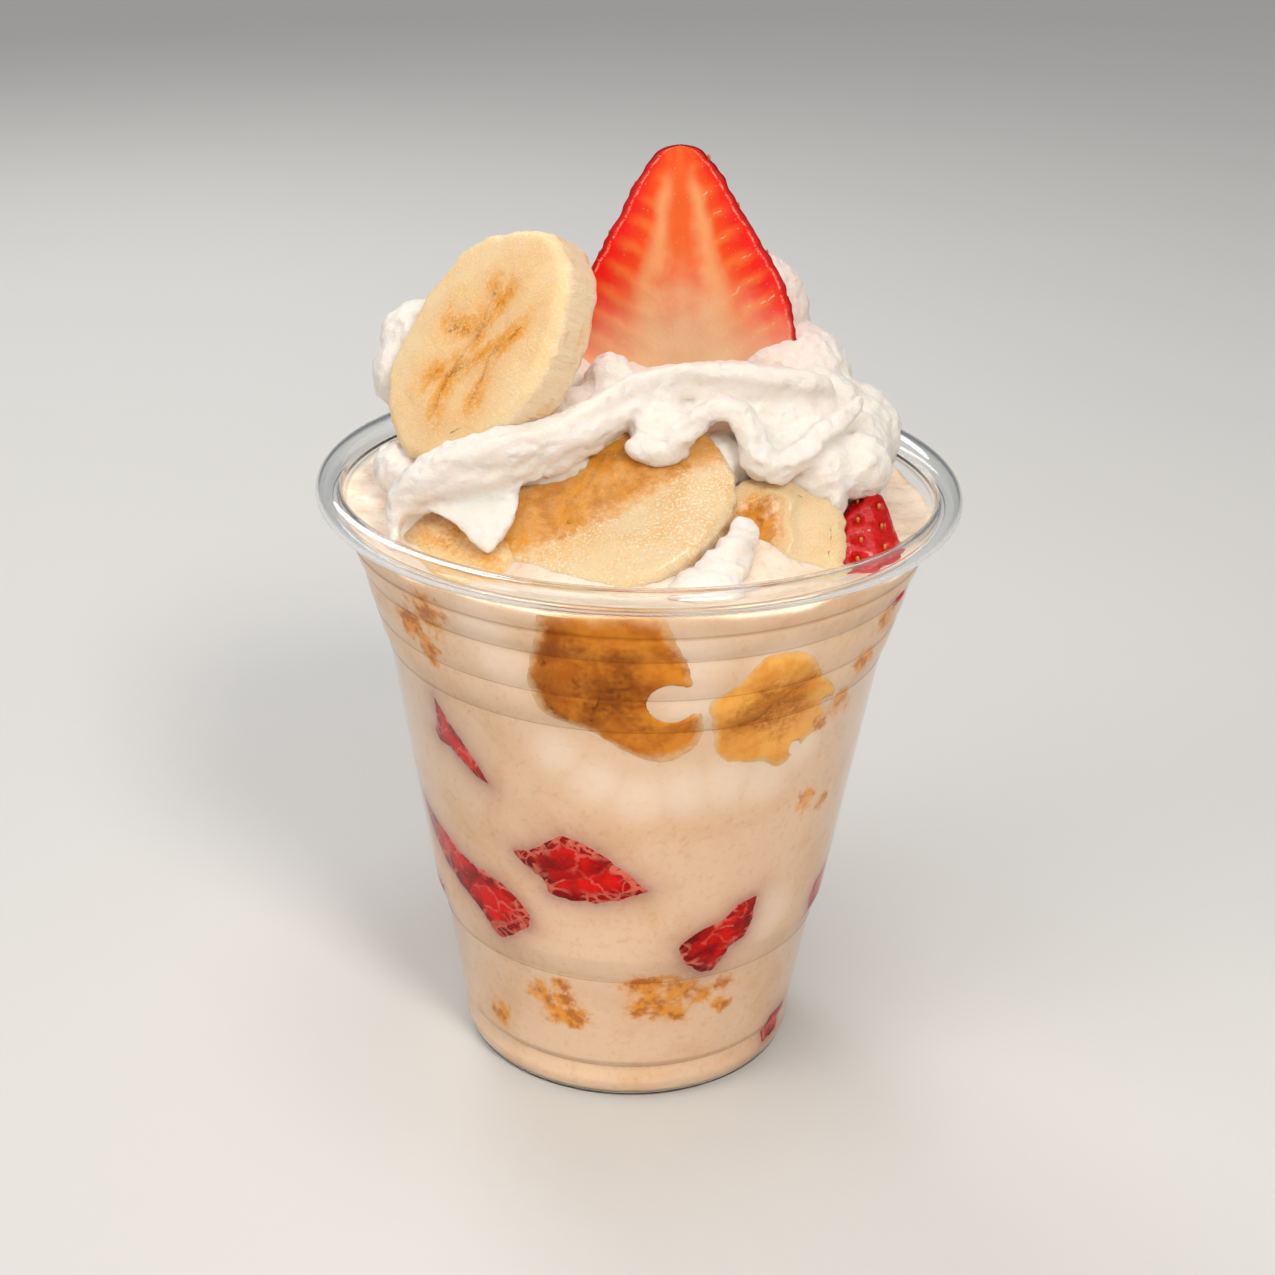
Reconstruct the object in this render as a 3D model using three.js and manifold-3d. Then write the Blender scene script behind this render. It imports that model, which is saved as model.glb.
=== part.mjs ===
// A clear plastic dessert cup filled with pale cream, sliced banana and cut strawberry,
// and topped with a swirl of whipped cream, a strawberry half and more banana slices.
// Millimetres, +Z up. The origin is the middle of the cup's foot, on the table.
// The front of the dessert looks along -Y.

import * as THREE from "three";
import { mergeVertices } from "three/addons/utils/BufferGeometryUtils.js";
import Module from "manifold-3d";

const wasm = await Module();
wasm.setup();

// Driving sizes of the cup
const CUP_HEIGHT = 97.2;
const RIM_RADIUS = 49;
const LIP_RADIUS = 2.05; // the rolled lip, measured across its round section
const WALL = 0.6;
const FLOOR_LIFT = 1.2; // how far the floor stands off the table inside the foot
const FOOT_INNER_RADIUS = 22.5;
const FOOT_OUTER_RADIUS = 25;
const ROUND_STEPS = 36;

// The wall from the foot to the stacking ledge and up to the first ring: radius, height
const LOWER_WALL = [
  [FOOT_OUTER_RADIUS, 0],
  [26.4, 1.2],
  [27.1, 3.5],
  [26.8, 6.9],
  [27.5, 7.6],
  [30.2, 24.6],
  [30.7, 25.8],
  [31.8, 29],
  [38.6, 71.6],
];
// The stacking rings under the lip: radius and height of each crease
const RINGS = [
  [40.45, 77.5],
  [42.25, 84.2],
  [43.95, 88.6],
  [45.3, 93.5],
];
const RING_STEPS = 2;

// The space left between two things that touch, and a length too small to matter
const GAP = 0.3;
const TINY = 1e-3;

// Cream in the cup
const CREAM_LEVEL = 93.2;
const CREAM_FLOOR = FLOOR_LIFT + WALL + GAP;
const CREAM_MOUND = 7; // how far the cream rises towards the middle
const CREAM_MOUND_RADIUS = 26;
// Where the surface lies lower: place, depth, and reach across and along
const CREAM_DIPS = [
  [[40, 2], 2.4, [9, 14]],
  [[4, -36], 2.8, [26, 9]],
  [[33, -22], 3, [10, 9]],
];
const CREAM_RIPPLE = 0.5;
const CREAM_TOP_RINGS = 5;

const COLOURS = {
  plastic: 0xe9eef0,
  cream: 0xf3dcc0,
  whipped: 0xfbf4ea,
  banana: 0xf2cf92,
  strawberry: 0xc8231b,
};

const Z_AXIS = new THREE.Vector3(0, 0, 1);

// Turning a closed geometry into a solid and back
function solid(geometry) {
  const bare = geometry.clone();
  bare.deleteAttribute("normal");
  bare.deleteAttribute("uv");
  const merged = mergeVertices(bare, 1e-4);
  return new wasm.Manifold(
    new wasm.Mesh({
      numProp: 3,
      vertProperties: new Float32Array(merged.attributes.position.array),
      triVerts: new Uint32Array(merged.index.array),
    }),
  );
}

function geometryOf(body) {
  const { vertProperties, triVerts } = body.getMesh();
  const geometry = new THREE.BufferGeometry();
  geometry.setAttribute("position", new THREE.BufferAttribute(vertProperties, 3));
  geometry.setIndex(new THREE.BufferAttribute(triVerts, 1));
  geometry.computeVertexNormals();
  return geometry;
}

// Cutting can leave loose scraps: only the largest piece is the food.
function largest(body) {
  return body.decompose().reduce((best, one) => (one.volume() > best.volume() ? one : best));
}

function without(body, cutters) {
  return cutters.reduce((left, cutter) => left.subtract(cutter), body);
}

// A round body from its profile, a list of [radius, height] read upwards along its outside
function turned(profile, steps = ROUND_STEPS) {
  const points = profile.map(([radius, height]) => new THREE.Vector2(radius, height));
  return new THREE.LatheGeometry(points, steps).rotateX(Math.PI / 2);
}

// The wall's outside, with each ring's bulge drawn in a number of steps
function wallPoints(ringSteps = RING_STEPS) {
  const points = LOWER_WALL.map((point) => [...point]);
  for (const [radius, height] of RINGS) {
    const [fromRadius, fromHeight] = points[points.length - 1];
    for (let step = 1; step <= ringSteps; step++) {
      const share = step / ringSteps;
      const bulge = 1 - (1 - share) ** 2;
      points.push([
        fromRadius + (radius - fromRadius) * bulge,
        fromHeight + (height - fromHeight) * share,
      ]);
    }
  }
  return points;
}

// The rolled lip: its outer and its inner skin, from the wall over the top to the curled edge
function lipArc(radius) {
  const centreRadius = RIM_RADIUS - LIP_RADIUS;
  const centreHeight = CUP_HEIGHT - LIP_RADIUS;
  const points = [];
  for (let degrees = 180; degrees >= -45; degrees -= 45) {
    const angle = THREE.MathUtils.degToRad(degrees);
    points.push([
      centreRadius + radius * Math.cos(angle),
      centreHeight + radius * Math.sin(angle),
    ]);
  }
  return points;
}

function innerWallPoints(inset, ringSteps) {
  return wallPoints(ringSteps)
    .slice(1)
    .map(([radius, height]) => [radius - inset, height]);
}

function cupGeometry() {
  const outside = [
    [0, FLOOR_LIFT],
    [FOOT_INNER_RADIUS - WALL, FLOOR_LIFT],
    [FOOT_INNER_RADIUS, 0],
    ...wallPoints(),
    ...lipArc(LIP_RADIUS - WALL),
  ];
  const inside = [
    [0, FLOOR_LIFT + WALL],
    [FOOT_OUTER_RADIUS - 2 * WALL, FLOOR_LIFT + WALL],
    ...innerWallPoints(WALL),
    ...lipArc(LIP_RADIUS),
  ];
  return turned([...outside, ...inside.reverse()]);
}

// The radius of the wall's inside at a height, straight up above the last ring
function innerRadiusAt(height) {
  const points = wallPoints(1);
  const above = points.findIndex(([, level]) => level > height);
  if (above < 0) return points[points.length - 1][0] - WALL;
  const [lowRadius, low] = points[above - 1];
  const [highRadius, high] = points[above];
  const share = (height - low) / (high - low);
  return lowRadius + (highRadius - lowRadius) * share - WALL;
}

// The room inside the cup, a gap clear of the wall, up to a height
function roomProfile(top) {
  const inset = WALL + GAP;
  const wall = innerWallPoints(inset, 1).filter(([, height]) => height < top);
  return [
    [0, CREAM_FLOOR],
    [FOOT_OUTER_RADIUS - 2 * WALL, CREAM_FLOOR],
    ...wall.filter(([, height]) => height > CREAM_FLOOR),
    [innerRadiusAt(top) - GAP, top],
  ];
}

function creamRise(x, y) {
  const distance = Math.hypot(x, y) / CREAM_MOUND_RADIUS;
  const mound = CREAM_MOUND * Math.exp(-(distance ** 4));
  const ripple = CREAM_RIPPLE * Math.sin(x / 6 + 1) * Math.cos(y / 7);
  const dips = CREAM_DIPS.map(
    ([[atX, atY], depth, [across, back]]) =>
      depth * Math.exp(-(((x - atX) / across) ** 2) - ((y - atY) / back) ** 2),
  );
  return mound + ripple - Math.max(...dips);
}

// The cream in the cup, with its surface raised by lift
function creamSolid(lift) {
  const sides = roomProfile(CREAM_LEVEL);
  const [edge] = sides[sides.length - 1];
  const surface = [];
  for (let ring = 1; ring <= CREAM_TOP_RINGS; ring++) {
    surface.push([edge * (1 - ring / CREAM_TOP_RINGS), CREAM_LEVEL]);
  }
  const geometry = turned([...sides, ...surface]);
  const place = geometry.attributes.position;
  for (let i = 0; i < place.count; i++) {
    if (place.getZ(i) < CREAM_LEVEL - TINY) continue;
    const x = place.getX(i);
    const y = place.getY(i);
    const height = CREAM_LEVEL + creamRise(x, y);
    const wall = innerRadiusAt(height) - GAP;
    const inward = Math.hypot(x, y) > edge - TINY ? wall / edge : 1;
    place.setXYZ(i, x * inward, y * inward, height + lift);
  }
  return solid(geometry);
}

// A frame on an object: its centre, the way its face looks, and its turn about that
function facing([x, y, z], look, turn) {
  const ahead = new THREE.Vector3(...look).normalize();
  const right = new THREE.Vector3().crossVectors(Z_AXIS, ahead).normalize();
  const up = new THREE.Vector3().crossVectors(ahead, right);
  const matrix = new THREE.Matrix4().makeBasis(right, up, ahead);
  matrix.setPosition(x, y, z);
  return matrix.multiply(new THREE.Matrix4().makeRotationZ(turn));
}

// A banana slice: a slightly five-sided oval with rounded edges. Its face is at the centre
// given and looks along +Z of its frame, and its thickness lies behind the face.
const SLICE_SIDES = 20;
const SLICE_BEVEL = 1.1;
const SLICE_RIDGES = 5;
const SLICE_RIDGE_SHARE = 0.022;

function bananaSlice({ centre, look, turn, half, thickness }, grow = 0) {
  const outline = [];
  for (let i = 0; i < SLICE_SIDES; i++) {
    const angle = (2 * Math.PI * i) / SLICE_SIDES;
    const ridge = 1 + SLICE_RIDGE_SHARE * Math.cos(SLICE_RIDGES * angle + 0.6);
    outline.push(
      new THREE.Vector2(
        (half[0] + grow - SLICE_BEVEL) * ridge * Math.cos(angle),
        (half[1] + grow - SLICE_BEVEL) * ridge * Math.sin(angle),
      ),
    );
  }
  const depth = thickness + 2 * grow - 2 * SLICE_BEVEL;
  const geometry = new THREE.ExtrudeGeometry(new THREE.Shape(outline), {
    depth,
    bevelThickness: SLICE_BEVEL,
    bevelSize: SLICE_BEVEL,
    bevelSegments: 2,
  });
  geometry.translate(0, 0, -depth - SLICE_BEVEL + grow);
  return solid(geometry.applyMatrix4(facing(centre, look, turn)));
}

const BANANAS = {
  banana_slice_upright: {
    centre: [-24.8, -8.2, 118.8],
    look: [-0.64, -0.61, 0.47],
    turn: 1.12,
    half: [19.4, 14.6],
    thickness: 8,
  },
  banana_slice_front: {
    centre: [-4.4, -19.5, 101.2],
    look: [-0.12, -0.58, 0.81],
    turn: 0.3,
    half: [17.8, 16.6],
    thickness: 8,
  },
  banana_slice_right: {
    centre: [19.6, -23.5, 95],
    look: [0.2, -0.7, 0.68],
    turn: 0.5,
    half: [12, 10.4],
    thickness: 8,
  },
  banana_slice_low: {
    centre: [-26, -23, 93.6],
    look: [-0.3, -0.5, 0.82],
    turn: 0,
    half: [9.6, 8],
    thickness: 5,
  },
};

// A whole strawberry standing on its calyx end, tip up, with the tip at the origin:
// distance below the tip and radius, both as shares of its length and greatest radius
const BERRY_PROFILE = [
  [1, 0],
  [0.985, 0.42],
  [0.93, 0.8],
  [0.82, 0.99],
  [0.66, 0.99],
  [0.5, 0.9],
  [0.35, 0.7],
  [0.2, 0.48],
  [0.09, 0.33],
  [0.02, 0.17],
  [0, 0],
];

function berry(length, radius, depth, grow, steps) {
  const profile = BERRY_PROFILE.map(([below, share]) => [
    share * (radius + grow),
    -below * (length + 2 * grow) + grow,
  ]);
  return turned(profile, steps).scale(1, (depth + grow) / (radius + grow), 1);
}

// Half a strawberry, cut from tip to calyx, with its cut face towards -Y of its frame
const BERRY_HALF_STEPS = 20;
const BERRY_HALF = {
  tip: [4.6, 3, 145.9],
  length: 44,
  radius: 17.1,
  depth: 14,
  leanRight: 0.05,
  leanBack: 0.06,
};

function strawberryHalf({ tip, length, radius, depth, leanRight, leanBack }, grow = 0) {
  const whole = solid(berry(length, radius, depth, grow, BERRY_HALF_STEPS));
  const reach = 2 * length;
  const behind = new THREE.BoxGeometry(reach, reach, 2 * reach);
  behind.translate(0, reach / 2 - grow, 0);
  const half = geometryOf(whole.intersect(solid(behind)));
  half.rotateX(leanBack).rotateY(-leanRight).translate(...tip);
  return solid(half);
}

// The end of a strawberry that lies by the wall on the right, tip up and out
const BERRY_CHUNK_STEPS = 12;
const BERRY_CHUNK = {
  tip: [35.4, -10.5, 98.4],
  length: 17,
  radius: 7.4,
  depth: 6.6,
  leanBack: 0.4,
  leanRight: 0.25,
};

function strawberryChunk({ tip, length, radius, depth, leanBack, leanRight }, grow = 0) {
  const chunk = berry(length, radius, depth, grow, BERRY_CHUNK_STEPS);
  chunk.rotateX(-leanBack).rotateY(leanRight).translate(...tip);
  return solid(chunk);
}

// Fruit pressed against the wall. azimuth is counted from the front towards the right,
// across and along are the size of the outline, tilt turns it on the wall.
const WALL_BERRIES = {
  strawberry_wall_upper: { azimuth: -46.5, height: 62.8, along: 14.5, across: 4.6, tilt: -56 },
  strawberry_wall_left: { azimuth: -49, height: 38.2, along: 25, across: 9, tilt: -46 },
  strawberry_wall_front: { azimuth: -13.4, height: 45.8, along: 20.4, across: 11, tilt: -14 },
  strawberry_wall_right: { azimuth: 26, height: 32.6, along: 16, across: 7.4, tilt: 46 },
  strawberry_wall_side: { azimuth: 69, height: 31.6, along: 10, across: 6, tilt: 62 },
  strawberry_wall_foot: { azimuth: 62, height: 6.6, along: 8, across: 6, tilt: 48 },
  strawberry_back_a: { azimuth: 104, height: 58, along: 15, across: 8, tilt: 25 },
  strawberry_back_b: { azimuth: 141, height: 30, along: 19, across: 9, tilt: -38 },
  strawberry_back_c: { azimuth: 176, height: 50, along: 16, across: 6.5, tilt: 58 },
  strawberry_back_d: { azimuth: 214, height: 23, along: 14, across: 8, tilt: -20 },
  strawberry_back_e: { azimuth: 246, height: 56, along: 17, across: 7, tilt: -50 },
  strawberry_back_f: { azimuth: 282, height: 27, along: 12, across: 7, tilt: 35 },
};
const WALL_BANANAS = {
  banana_wall_left: { azimuth: -4.6, height: 79.6, along: 23.6, across: 25, tilt: 0 },
  banana_wall_right: { azimuth: 31.5, height: 74, along: 22, across: 18.4, tilt: 20 },
  banana_back_a: { azimuth: 158, height: 77, along: 26, across: 23, tilt: -15 },
  banana_back_b: { azimuth: 234, height: 79, along: 24, across: 21, tilt: 30 },
};
const WALL_FRUIT_DEPTH = 7;
const WALL_FRUIT_PAST = 3; // a block starts this far outside the wall and is trimmed to it
const WALL_OUTLINE_SPREAD = 2.4; // how much wider a cutter's outline is for each unit of gap
const OVAL_SIDES = 16;

// A cut strawberry shows a kite with blunt corners: its corners as shares of its size
const KITE = [
  [-0.5, 0.05],
  [-0.2, 0.45],
  [0.06, 0.5],
  [0.5, -0.06],
  [0.24, -0.44],
  [-0.08, -0.5],
];

function kiteOutline(along, across) {
  return KITE.map(([x, y]) => new THREE.Vector2(x * along, y * across));
}

function ovalOutline(along, across) {
  return Array.from({ length: OVAL_SIDES }, (_, i) => {
    const angle = (2 * Math.PI * i) / OVAL_SIDES;
    return new THREE.Vector2((along / 2) * Math.cos(angle), (across / 2) * Math.sin(angle));
  });
}

function wallBlock(outlineOf, { azimuth, height, along, across, tilt }, grow = 0) {
  const radius = innerRadiusAt(height);
  const spread = WALL_OUTLINE_SPREAD * grow;
  const geometry = new THREE.ExtrudeGeometry(
    new THREE.Shape(outlineOf(along + spread, across + spread)),
    { depth: WALL_FRUIT_DEPTH + WALL_FRUIT_PAST + grow, bevelEnabled: false },
  );
  geometry.translate(0, 0, -(WALL_FRUIT_DEPTH + grow));
  geometry.rotateZ(THREE.MathUtils.degToRad(tilt));
  geometry.rotateX(Math.PI / 2);
  geometry.translate(0, -radius, height);
  geometry.rotateZ(THREE.MathUtils.degToRad(azimuth));
  return solid(geometry);
}

// Whipped cream: round lumps and thick ropes that run into one another.
// A lump is its centre and its half sizes.
const LUMPS = [
  [[0, 8, 98], [33, 25, 10]],
  [[-8.5, -9.5, 107], [6.5, 5, 6]],
  [[-15, -12.5, 102], [9, 6, 5]],
  [[24, -6, 102], [7, 5, 5]],
  [[26, -12.4, 101.6], [5.4, 5, 5.4]],
  [[31.6, -9.6, 102], [5.4, 5, 5.4]],
  [[31.5, -4, 102.5], [6.4, 5.6, 6.4]],
  [[4, 20, 108], [21, 12, 13]],
  [[17.5, 13, 117], [8, 8, 10.6]],
  [[22.4, 10, 108.4], [10, 9, 9.8]],
  [[30.5, 4, 102], [9.4, 9, 8.6]],
  [[30.6, -6, 96.8], [6.4, 5.5, 5.6]],
  [[26, 1, 107.4], [7.5, 6, 6]],
  [[-35.6, 8, 109], [6, 6, 6]],
  [[-33, 11, 113.6], [7.4, 6.6, 6.4]],
  [[-28, 7, 103], [10, 9, 9]],
  [[-34.4, -5, 98], [5.6, 6, 4.4]],
  [[3.4, -12.5, 108], [5, 4.4, 4.6]],
  [[-9, 14, 116], [9, 8, 9]],
  [[-15, 4, 107], [9, 9, 8]],
  [[-14, 22, 106], [13, 10, 11]],
  [[9, 26, 104], [13, 9, 11]],
];
// A rope is a row of places, each with half its width and half its height.
const ROPES = [
  // the swoosh from the left edge up to the strawberry and on to the right
  [
    [-35.5, -17.5, 95.5, 2.6, 3.2],
    [-32, -20, 100, 3.2, 4.4],
    [-22.8, -19.5, 104, 3.4, 4.6],
    [-13, -17, 106.6, 3.4, 4.2],
    [-6.4, -14, 109.6, 3.4, 3.6],
    [-1.4, -10.5, 112, 3.6, 3.2],
    [6.4, -8, 113.8, 3.4, 2.8],
    [14.3, -6.6, 113.8, 3.4, 2.6],
    [22.3, -5, 112.9, 3.2, 2.6],
    [29.4, -3, 111, 2.8, 2.6],
  ],
  // the wavy edge in front of it: two tongues with an arch between them
  [
    [-0.6, -15.4, 106.6, 3, 2.8],
    [4.3, -16.2, 107.2, 3.2, 2.8],
    [7.6, -16.2, 110, 2.2, 2.2],
    [11.2, -15.6, 112.2, 1.9, 1.9],
    [14.4, -15.9, 111, 2.1, 2.1],
    [16.8, -17.2, 106.4, 2.5, 2.4],
    [19.6, -17.6, 104.4, 2.8, 2.4],
    [22.5, -16.4, 105.4, 2.6, 2.3],
    [27.2, -12.4, 108.4, 2.2, 2.3],
    [32.6, -5.6, 111.4, 2.2, 2.3],
  ],
  // the sheet between the two
  [
    [0, -12.6, 110, 3.4, 2.6],
    [8, -11.6, 112, 3.2, 1.8],
    [15, -11, 111.4, 3.6, 2],
    [21, -10.6, 109.6, 4.6, 2.2],
    [29, -7, 109.4, 3.6, 2.2],
  ],
  // the flap that hangs over the front slices
  [
    [-33.6, -20, 97.4, 3, 2.4],
    [-27.6, -23, 97.6, 4.6, 2.4],
    [-20.6, -24.4, 97.6, 4.8, 2.4],
    [-16, -22.6, 100.8, 3, 2.2],
  ],
  // folds round the back
  [
    [33, 9, 104, 5, 5],
    [23, 25, 104, 6, 5],
    [3, 33, 103, 6, 5],
    [-18, 29, 104, 6, 5],
    [-34, 13, 104, 5, 5],
  ],
  [
    [21, 16, 115, 5, 5],
    [8, 24, 117, 6, 5],
    [-9, 21, 115, 6, 5],
    [-22, 12, 111, 5, 5],
  ],
];
const LUMP_SIDES = 9;
const LUMP_RINGS = 6;
const ROPE_SIDES = 6;
const ROPE_LEAST_STEPS = 8;

function lump([centre, half]) {
  const ball = new THREE.SphereGeometry(1, LUMP_SIDES, LUMP_RINGS);
  return solid(ball.scale(...half).translate(...centre));
}

// The value of a row of numbers at a share of its length, in straight steps
function along(values, share) {
  const at = share * (values.length - 1);
  const low = Math.min(Math.floor(at), values.length - 2);
  return values[low] + (values[low + 1] - values[low]) * (at - low);
}

// A rope is a round-ended column of unit size bent along its curve.
function rope(places) {
  const curve = new THREE.CatmullRomCurve3(
    places.map(([x, y, z]) => new THREE.Vector3(x, y, z)),
  );
  const widths = places.map((place) => place[3]);
  const heights = places.map((place) => place[4]);
  const steps = Math.max(places.length, ROPE_LEAST_STEPS);
  const profile = [];
  for (let step = 0; step <= steps; step++) {
    const share = step / steps;
    profile.push(new THREE.Vector2(Math.sqrt(1 - (2 * share - 1) ** 4), share));
  }
  profile[0].x = 0;
  profile[steps].x = 0;
  const geometry = new THREE.LatheGeometry(profile, ROPE_SIDES);
  const place = geometry.attributes.position;
  for (let i = 0; i < place.count; i++) {
    const share = THREE.MathUtils.clamp(place.getY(i), 0, 1);
    const ahead = curve.getTangent(share);
    const side = new THREE.Vector3().crossVectors(ahead, Z_AXIS).normalize();
    const up = new THREE.Vector3().crossVectors(side, ahead);
    const point = curve
      .getPoint(share)
      .addScaledVector(side, place.getX(i) * along(widths, share))
      .addScaledVector(up, place.getZ(i) * along(heights, share));
    place.setXYZ(i, point.x, point.y, point.z);
  }
  return solid(geometry);
}

function material(colour, roughness) {
  return new THREE.MeshStandardMaterial({ color: colour, roughness, metalness: 0 });
}

const dessert = new THREE.Group();

function add(name, geometry, finish) {
  const mesh = new THREE.Mesh(geometry, finish);
  mesh.name = name;
  dessert.add(mesh);
}

const plastic = material(COLOURS.plastic, 0.08);
plastic.transparent = true;
plastic.opacity = 0.35;
const cream = material(COLOURS.cream, 0.45);
const whipped = material(COLOURS.whipped, 0.6);
const banana = material(COLOURS.banana, 0.5);
const strawberry = material(COLOURS.strawberry, 0.35);

add("cup", cupGeometry(), plastic);

// The room in the cup, and with it the open air above the lip
const AIR_RADIUS = 60;
const AIR_TOP = 160;
const room = solid(turned([...roomProfile(CUP_HEIGHT), [0, CUP_HEIGHT]]));
const air = solid(
  turned([
    ...roomProfile(CUP_HEIGHT + GAP),
    [AIR_RADIUS, CUP_HEIGHT + GAP],
    [AIR_RADIUS, AIR_TOP],
    [0, AIR_TOP],
  ]),
);

// The fruit on top, each piece cut clear of those in front of it
const toppings = [
  ...Object.entries(BANANAS).map(([name, size]) => ({
    name,
    finish: banana,
    make: (grow) => bananaSlice(size, grow),
  })),
  { name: "strawberry_half", finish: strawberry, make: (grow) => strawberryHalf(BERRY_HALF, grow) },
  { name: "strawberry_chunk", finish: strawberry, make: (grow) => strawberryChunk(BERRY_CHUNK, grow) },
];
const cutters = [];
for (const { name, finish, make } of toppings) {
  add(name, geometryOf(largest(without(make(0).intersect(air), cutters))), finish);
  cutters.push(make(GAP));
}

// The fruit against the wall
const wallFruit = [
  ...Object.entries(WALL_BERRIES).map(([name, size]) => [name, kiteOutline, size, strawberry]),
  ...Object.entries(WALL_BANANAS).map(([name, size]) => [name, ovalOutline, size, banana]),
];
for (const [name, outlineOf, size, finish] of wallFruit) {
  const piece = without(wallBlock(outlineOf, size).intersect(room), cutters);
  add(name, geometryOf(largest(piece)), finish);
  cutters.push(wallBlock(outlineOf, size, GAP));
}

add("cream", geometryOf(largest(without(creamSolid(0), cutters))), cream);

const swirl = [...LUMPS.map(lump), ...ROPES.map(rope)].reduce((all, one) => all.add(one));
const crown = without(swirl.intersect(air), [...cutters, creamSolid(GAP)]);
add("whipped_cream", geometryOf(largest(crown)), whipped);

export default dessert;
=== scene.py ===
"""The looks of a clear plastic cup of cream, strawberry and banana under whipped cream.

Lengths are millimetres until a mesh is made, which is in metres. +Z is up, the origin is
the middle of the cup's foot, and the front looks along -Y.
"""

import math

import bmesh
import bpy
import numpy as np
from mathutils import Matrix, Vector, noise


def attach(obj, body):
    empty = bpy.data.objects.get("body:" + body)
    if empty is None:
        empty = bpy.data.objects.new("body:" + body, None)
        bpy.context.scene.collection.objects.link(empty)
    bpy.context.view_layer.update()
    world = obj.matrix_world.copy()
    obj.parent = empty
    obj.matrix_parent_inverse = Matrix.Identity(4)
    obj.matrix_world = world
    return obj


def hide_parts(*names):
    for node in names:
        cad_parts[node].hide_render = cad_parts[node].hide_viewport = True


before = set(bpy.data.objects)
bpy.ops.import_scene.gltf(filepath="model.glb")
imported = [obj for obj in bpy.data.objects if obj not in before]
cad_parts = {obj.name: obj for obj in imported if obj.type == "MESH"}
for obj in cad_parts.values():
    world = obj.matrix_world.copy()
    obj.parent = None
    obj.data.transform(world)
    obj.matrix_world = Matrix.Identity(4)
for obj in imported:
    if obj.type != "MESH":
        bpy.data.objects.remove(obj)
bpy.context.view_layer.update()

MM = 0.001
TAU = 2 * math.pi

# The cup, as in the solids
CUP_HEIGHT = 97.2
RIM_RADIUS = 49.0
LIP_RADIUS = 2.05
WALL = 0.6
FLOOR_LIFT = 1.2
FOOT_RADIUS = 25
FOOT_INNER_RADIUS = 22.5
# Radius and height of the wall's outside, from the foot to the first ring
LOWER_WALL = [
    (FOOT_RADIUS, 0), (26.4, 1.2), (27.1, 3.5), (26.8, 6.9), (27.5, 7.6), (30.2, 24.6), (30.7, 25.8),
    (31.8, 29), (38.6, 71.6),
]
# Radius and height of the top of each ring, and how its side bulges
RINGS = [(40.45, 77.5), (42.25, 84.2), (43.95, 88.6), (45.3, 93.5)]
RING_STEPS = 7
RING_BULGE = 0.6
CORNER_REACH = 0.18

# The cream and the fruit reach this far into the wall, so that no air shows between them.
CREAM_BITE = 0.15
FRUIT_BITE = 0.36
# The cream's surface: its height, its mound, and dips with place, depth and reach
CREAM_LEVEL = 93.2
CREAM_MOUND = 7
CREAM_MOUND_RADIUS = 26
CREAM_DIPS = [
    ((40, 2), 2.4, (9, 14)), ((4, -36), 2.8, (26, 9)), ((33, -22), 3, (10, 9)),
    ((-26, -28.5), 3.6, (9, 6)),
]


# Numbers and places


def srgb(red, green, blue):
    """A colour given as a screen shows it, 0 to 255, as the light that shaders take."""
    shares = [value / 255 for value in (red, green, blue)]
    linear = [
        share / 12.92 if share < 0.04045 else ((share + 0.055) / 1.055) ** 2.4
        for share in shares
    ]
    return (*linear, 1)


def blend(low, high, value):
    """A smooth step from 0 at low to 1 at high."""
    share = np.clip((np.asarray(value) - low) / (high - low), 0, 1)
    return share * share * (3 - 2 * share)


def grain(points, size, offset=0.0):
    """Smooth noise from -1 to 1 at each point, with bumps about size across."""
    shift = Vector((offset, 2.3 * offset, -1.7 * offset))
    return np.array([noise.noise(Vector(point) / size + shift) for point in points])


def curve(knots, count):
    """Points on a smooth centripetal curve through the knots, evenly in their numbering."""
    knots = np.asarray(knots, float)
    padded = np.vstack([2 * knots[0] - knots[1], knots, 2 * knots[-1] - knots[-2]])
    ends = np.linalg.norm(np.diff(padded, axis=0), axis=1) ** 0.5
    at = np.linspace(0, len(knots) - 1, count)
    cell = np.minimum(at.astype(int), len(knots) - 2)
    share = (at - cell)[:, None]
    p0, p1, p2, p3 = (padded[cell + k] for k in range(4))
    d0, d1, d2 = (np.maximum(ends[cell + k], 1e-6)[:, None] for k in range(3))
    slope1 = ((p1 - p0) / d0 - (p2 - p0) / (d0 + d1) + (p2 - p1) / d1) * d1
    slope2 = ((p2 - p1) / d1 - (p3 - p1) / (d1 + d2) + (p3 - p2) / d2) * d1
    return (
        p1
        + slope1 * share
        + (3 * (p2 - p1) - 2 * slope1 - slope2) * share**2
        + (2 * (p1 - p2) + slope1 + slope2) * share**3
    )


def around(count):
    """Angles evenly round a circle."""
    return np.arange(count) * TAU / count


def unit(vectors):
    """Vectors of the same ways, each of length 1."""
    return vectors / np.linalg.norm(vectors, axis=-1)[..., None]


def spin(points, axis, angle):
    """Points turned about an axis through the origin."""
    return np.asarray(points) @ np.array(Matrix.Rotation(angle, 3, axis)).T


# Meshes


def ring_faces(rows, columns):
    """Four-sided faces over rows of points that each close on themselves."""
    row = np.arange(rows - 1)[:, None] * columns
    here = np.arange(columns)[None, :]
    there = (here + 1) % columns
    corners = [row + here, row + there, row + columns + there, row + columns + here]
    return np.stack(corners, -1).reshape(-1, 4).tolist()


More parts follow.
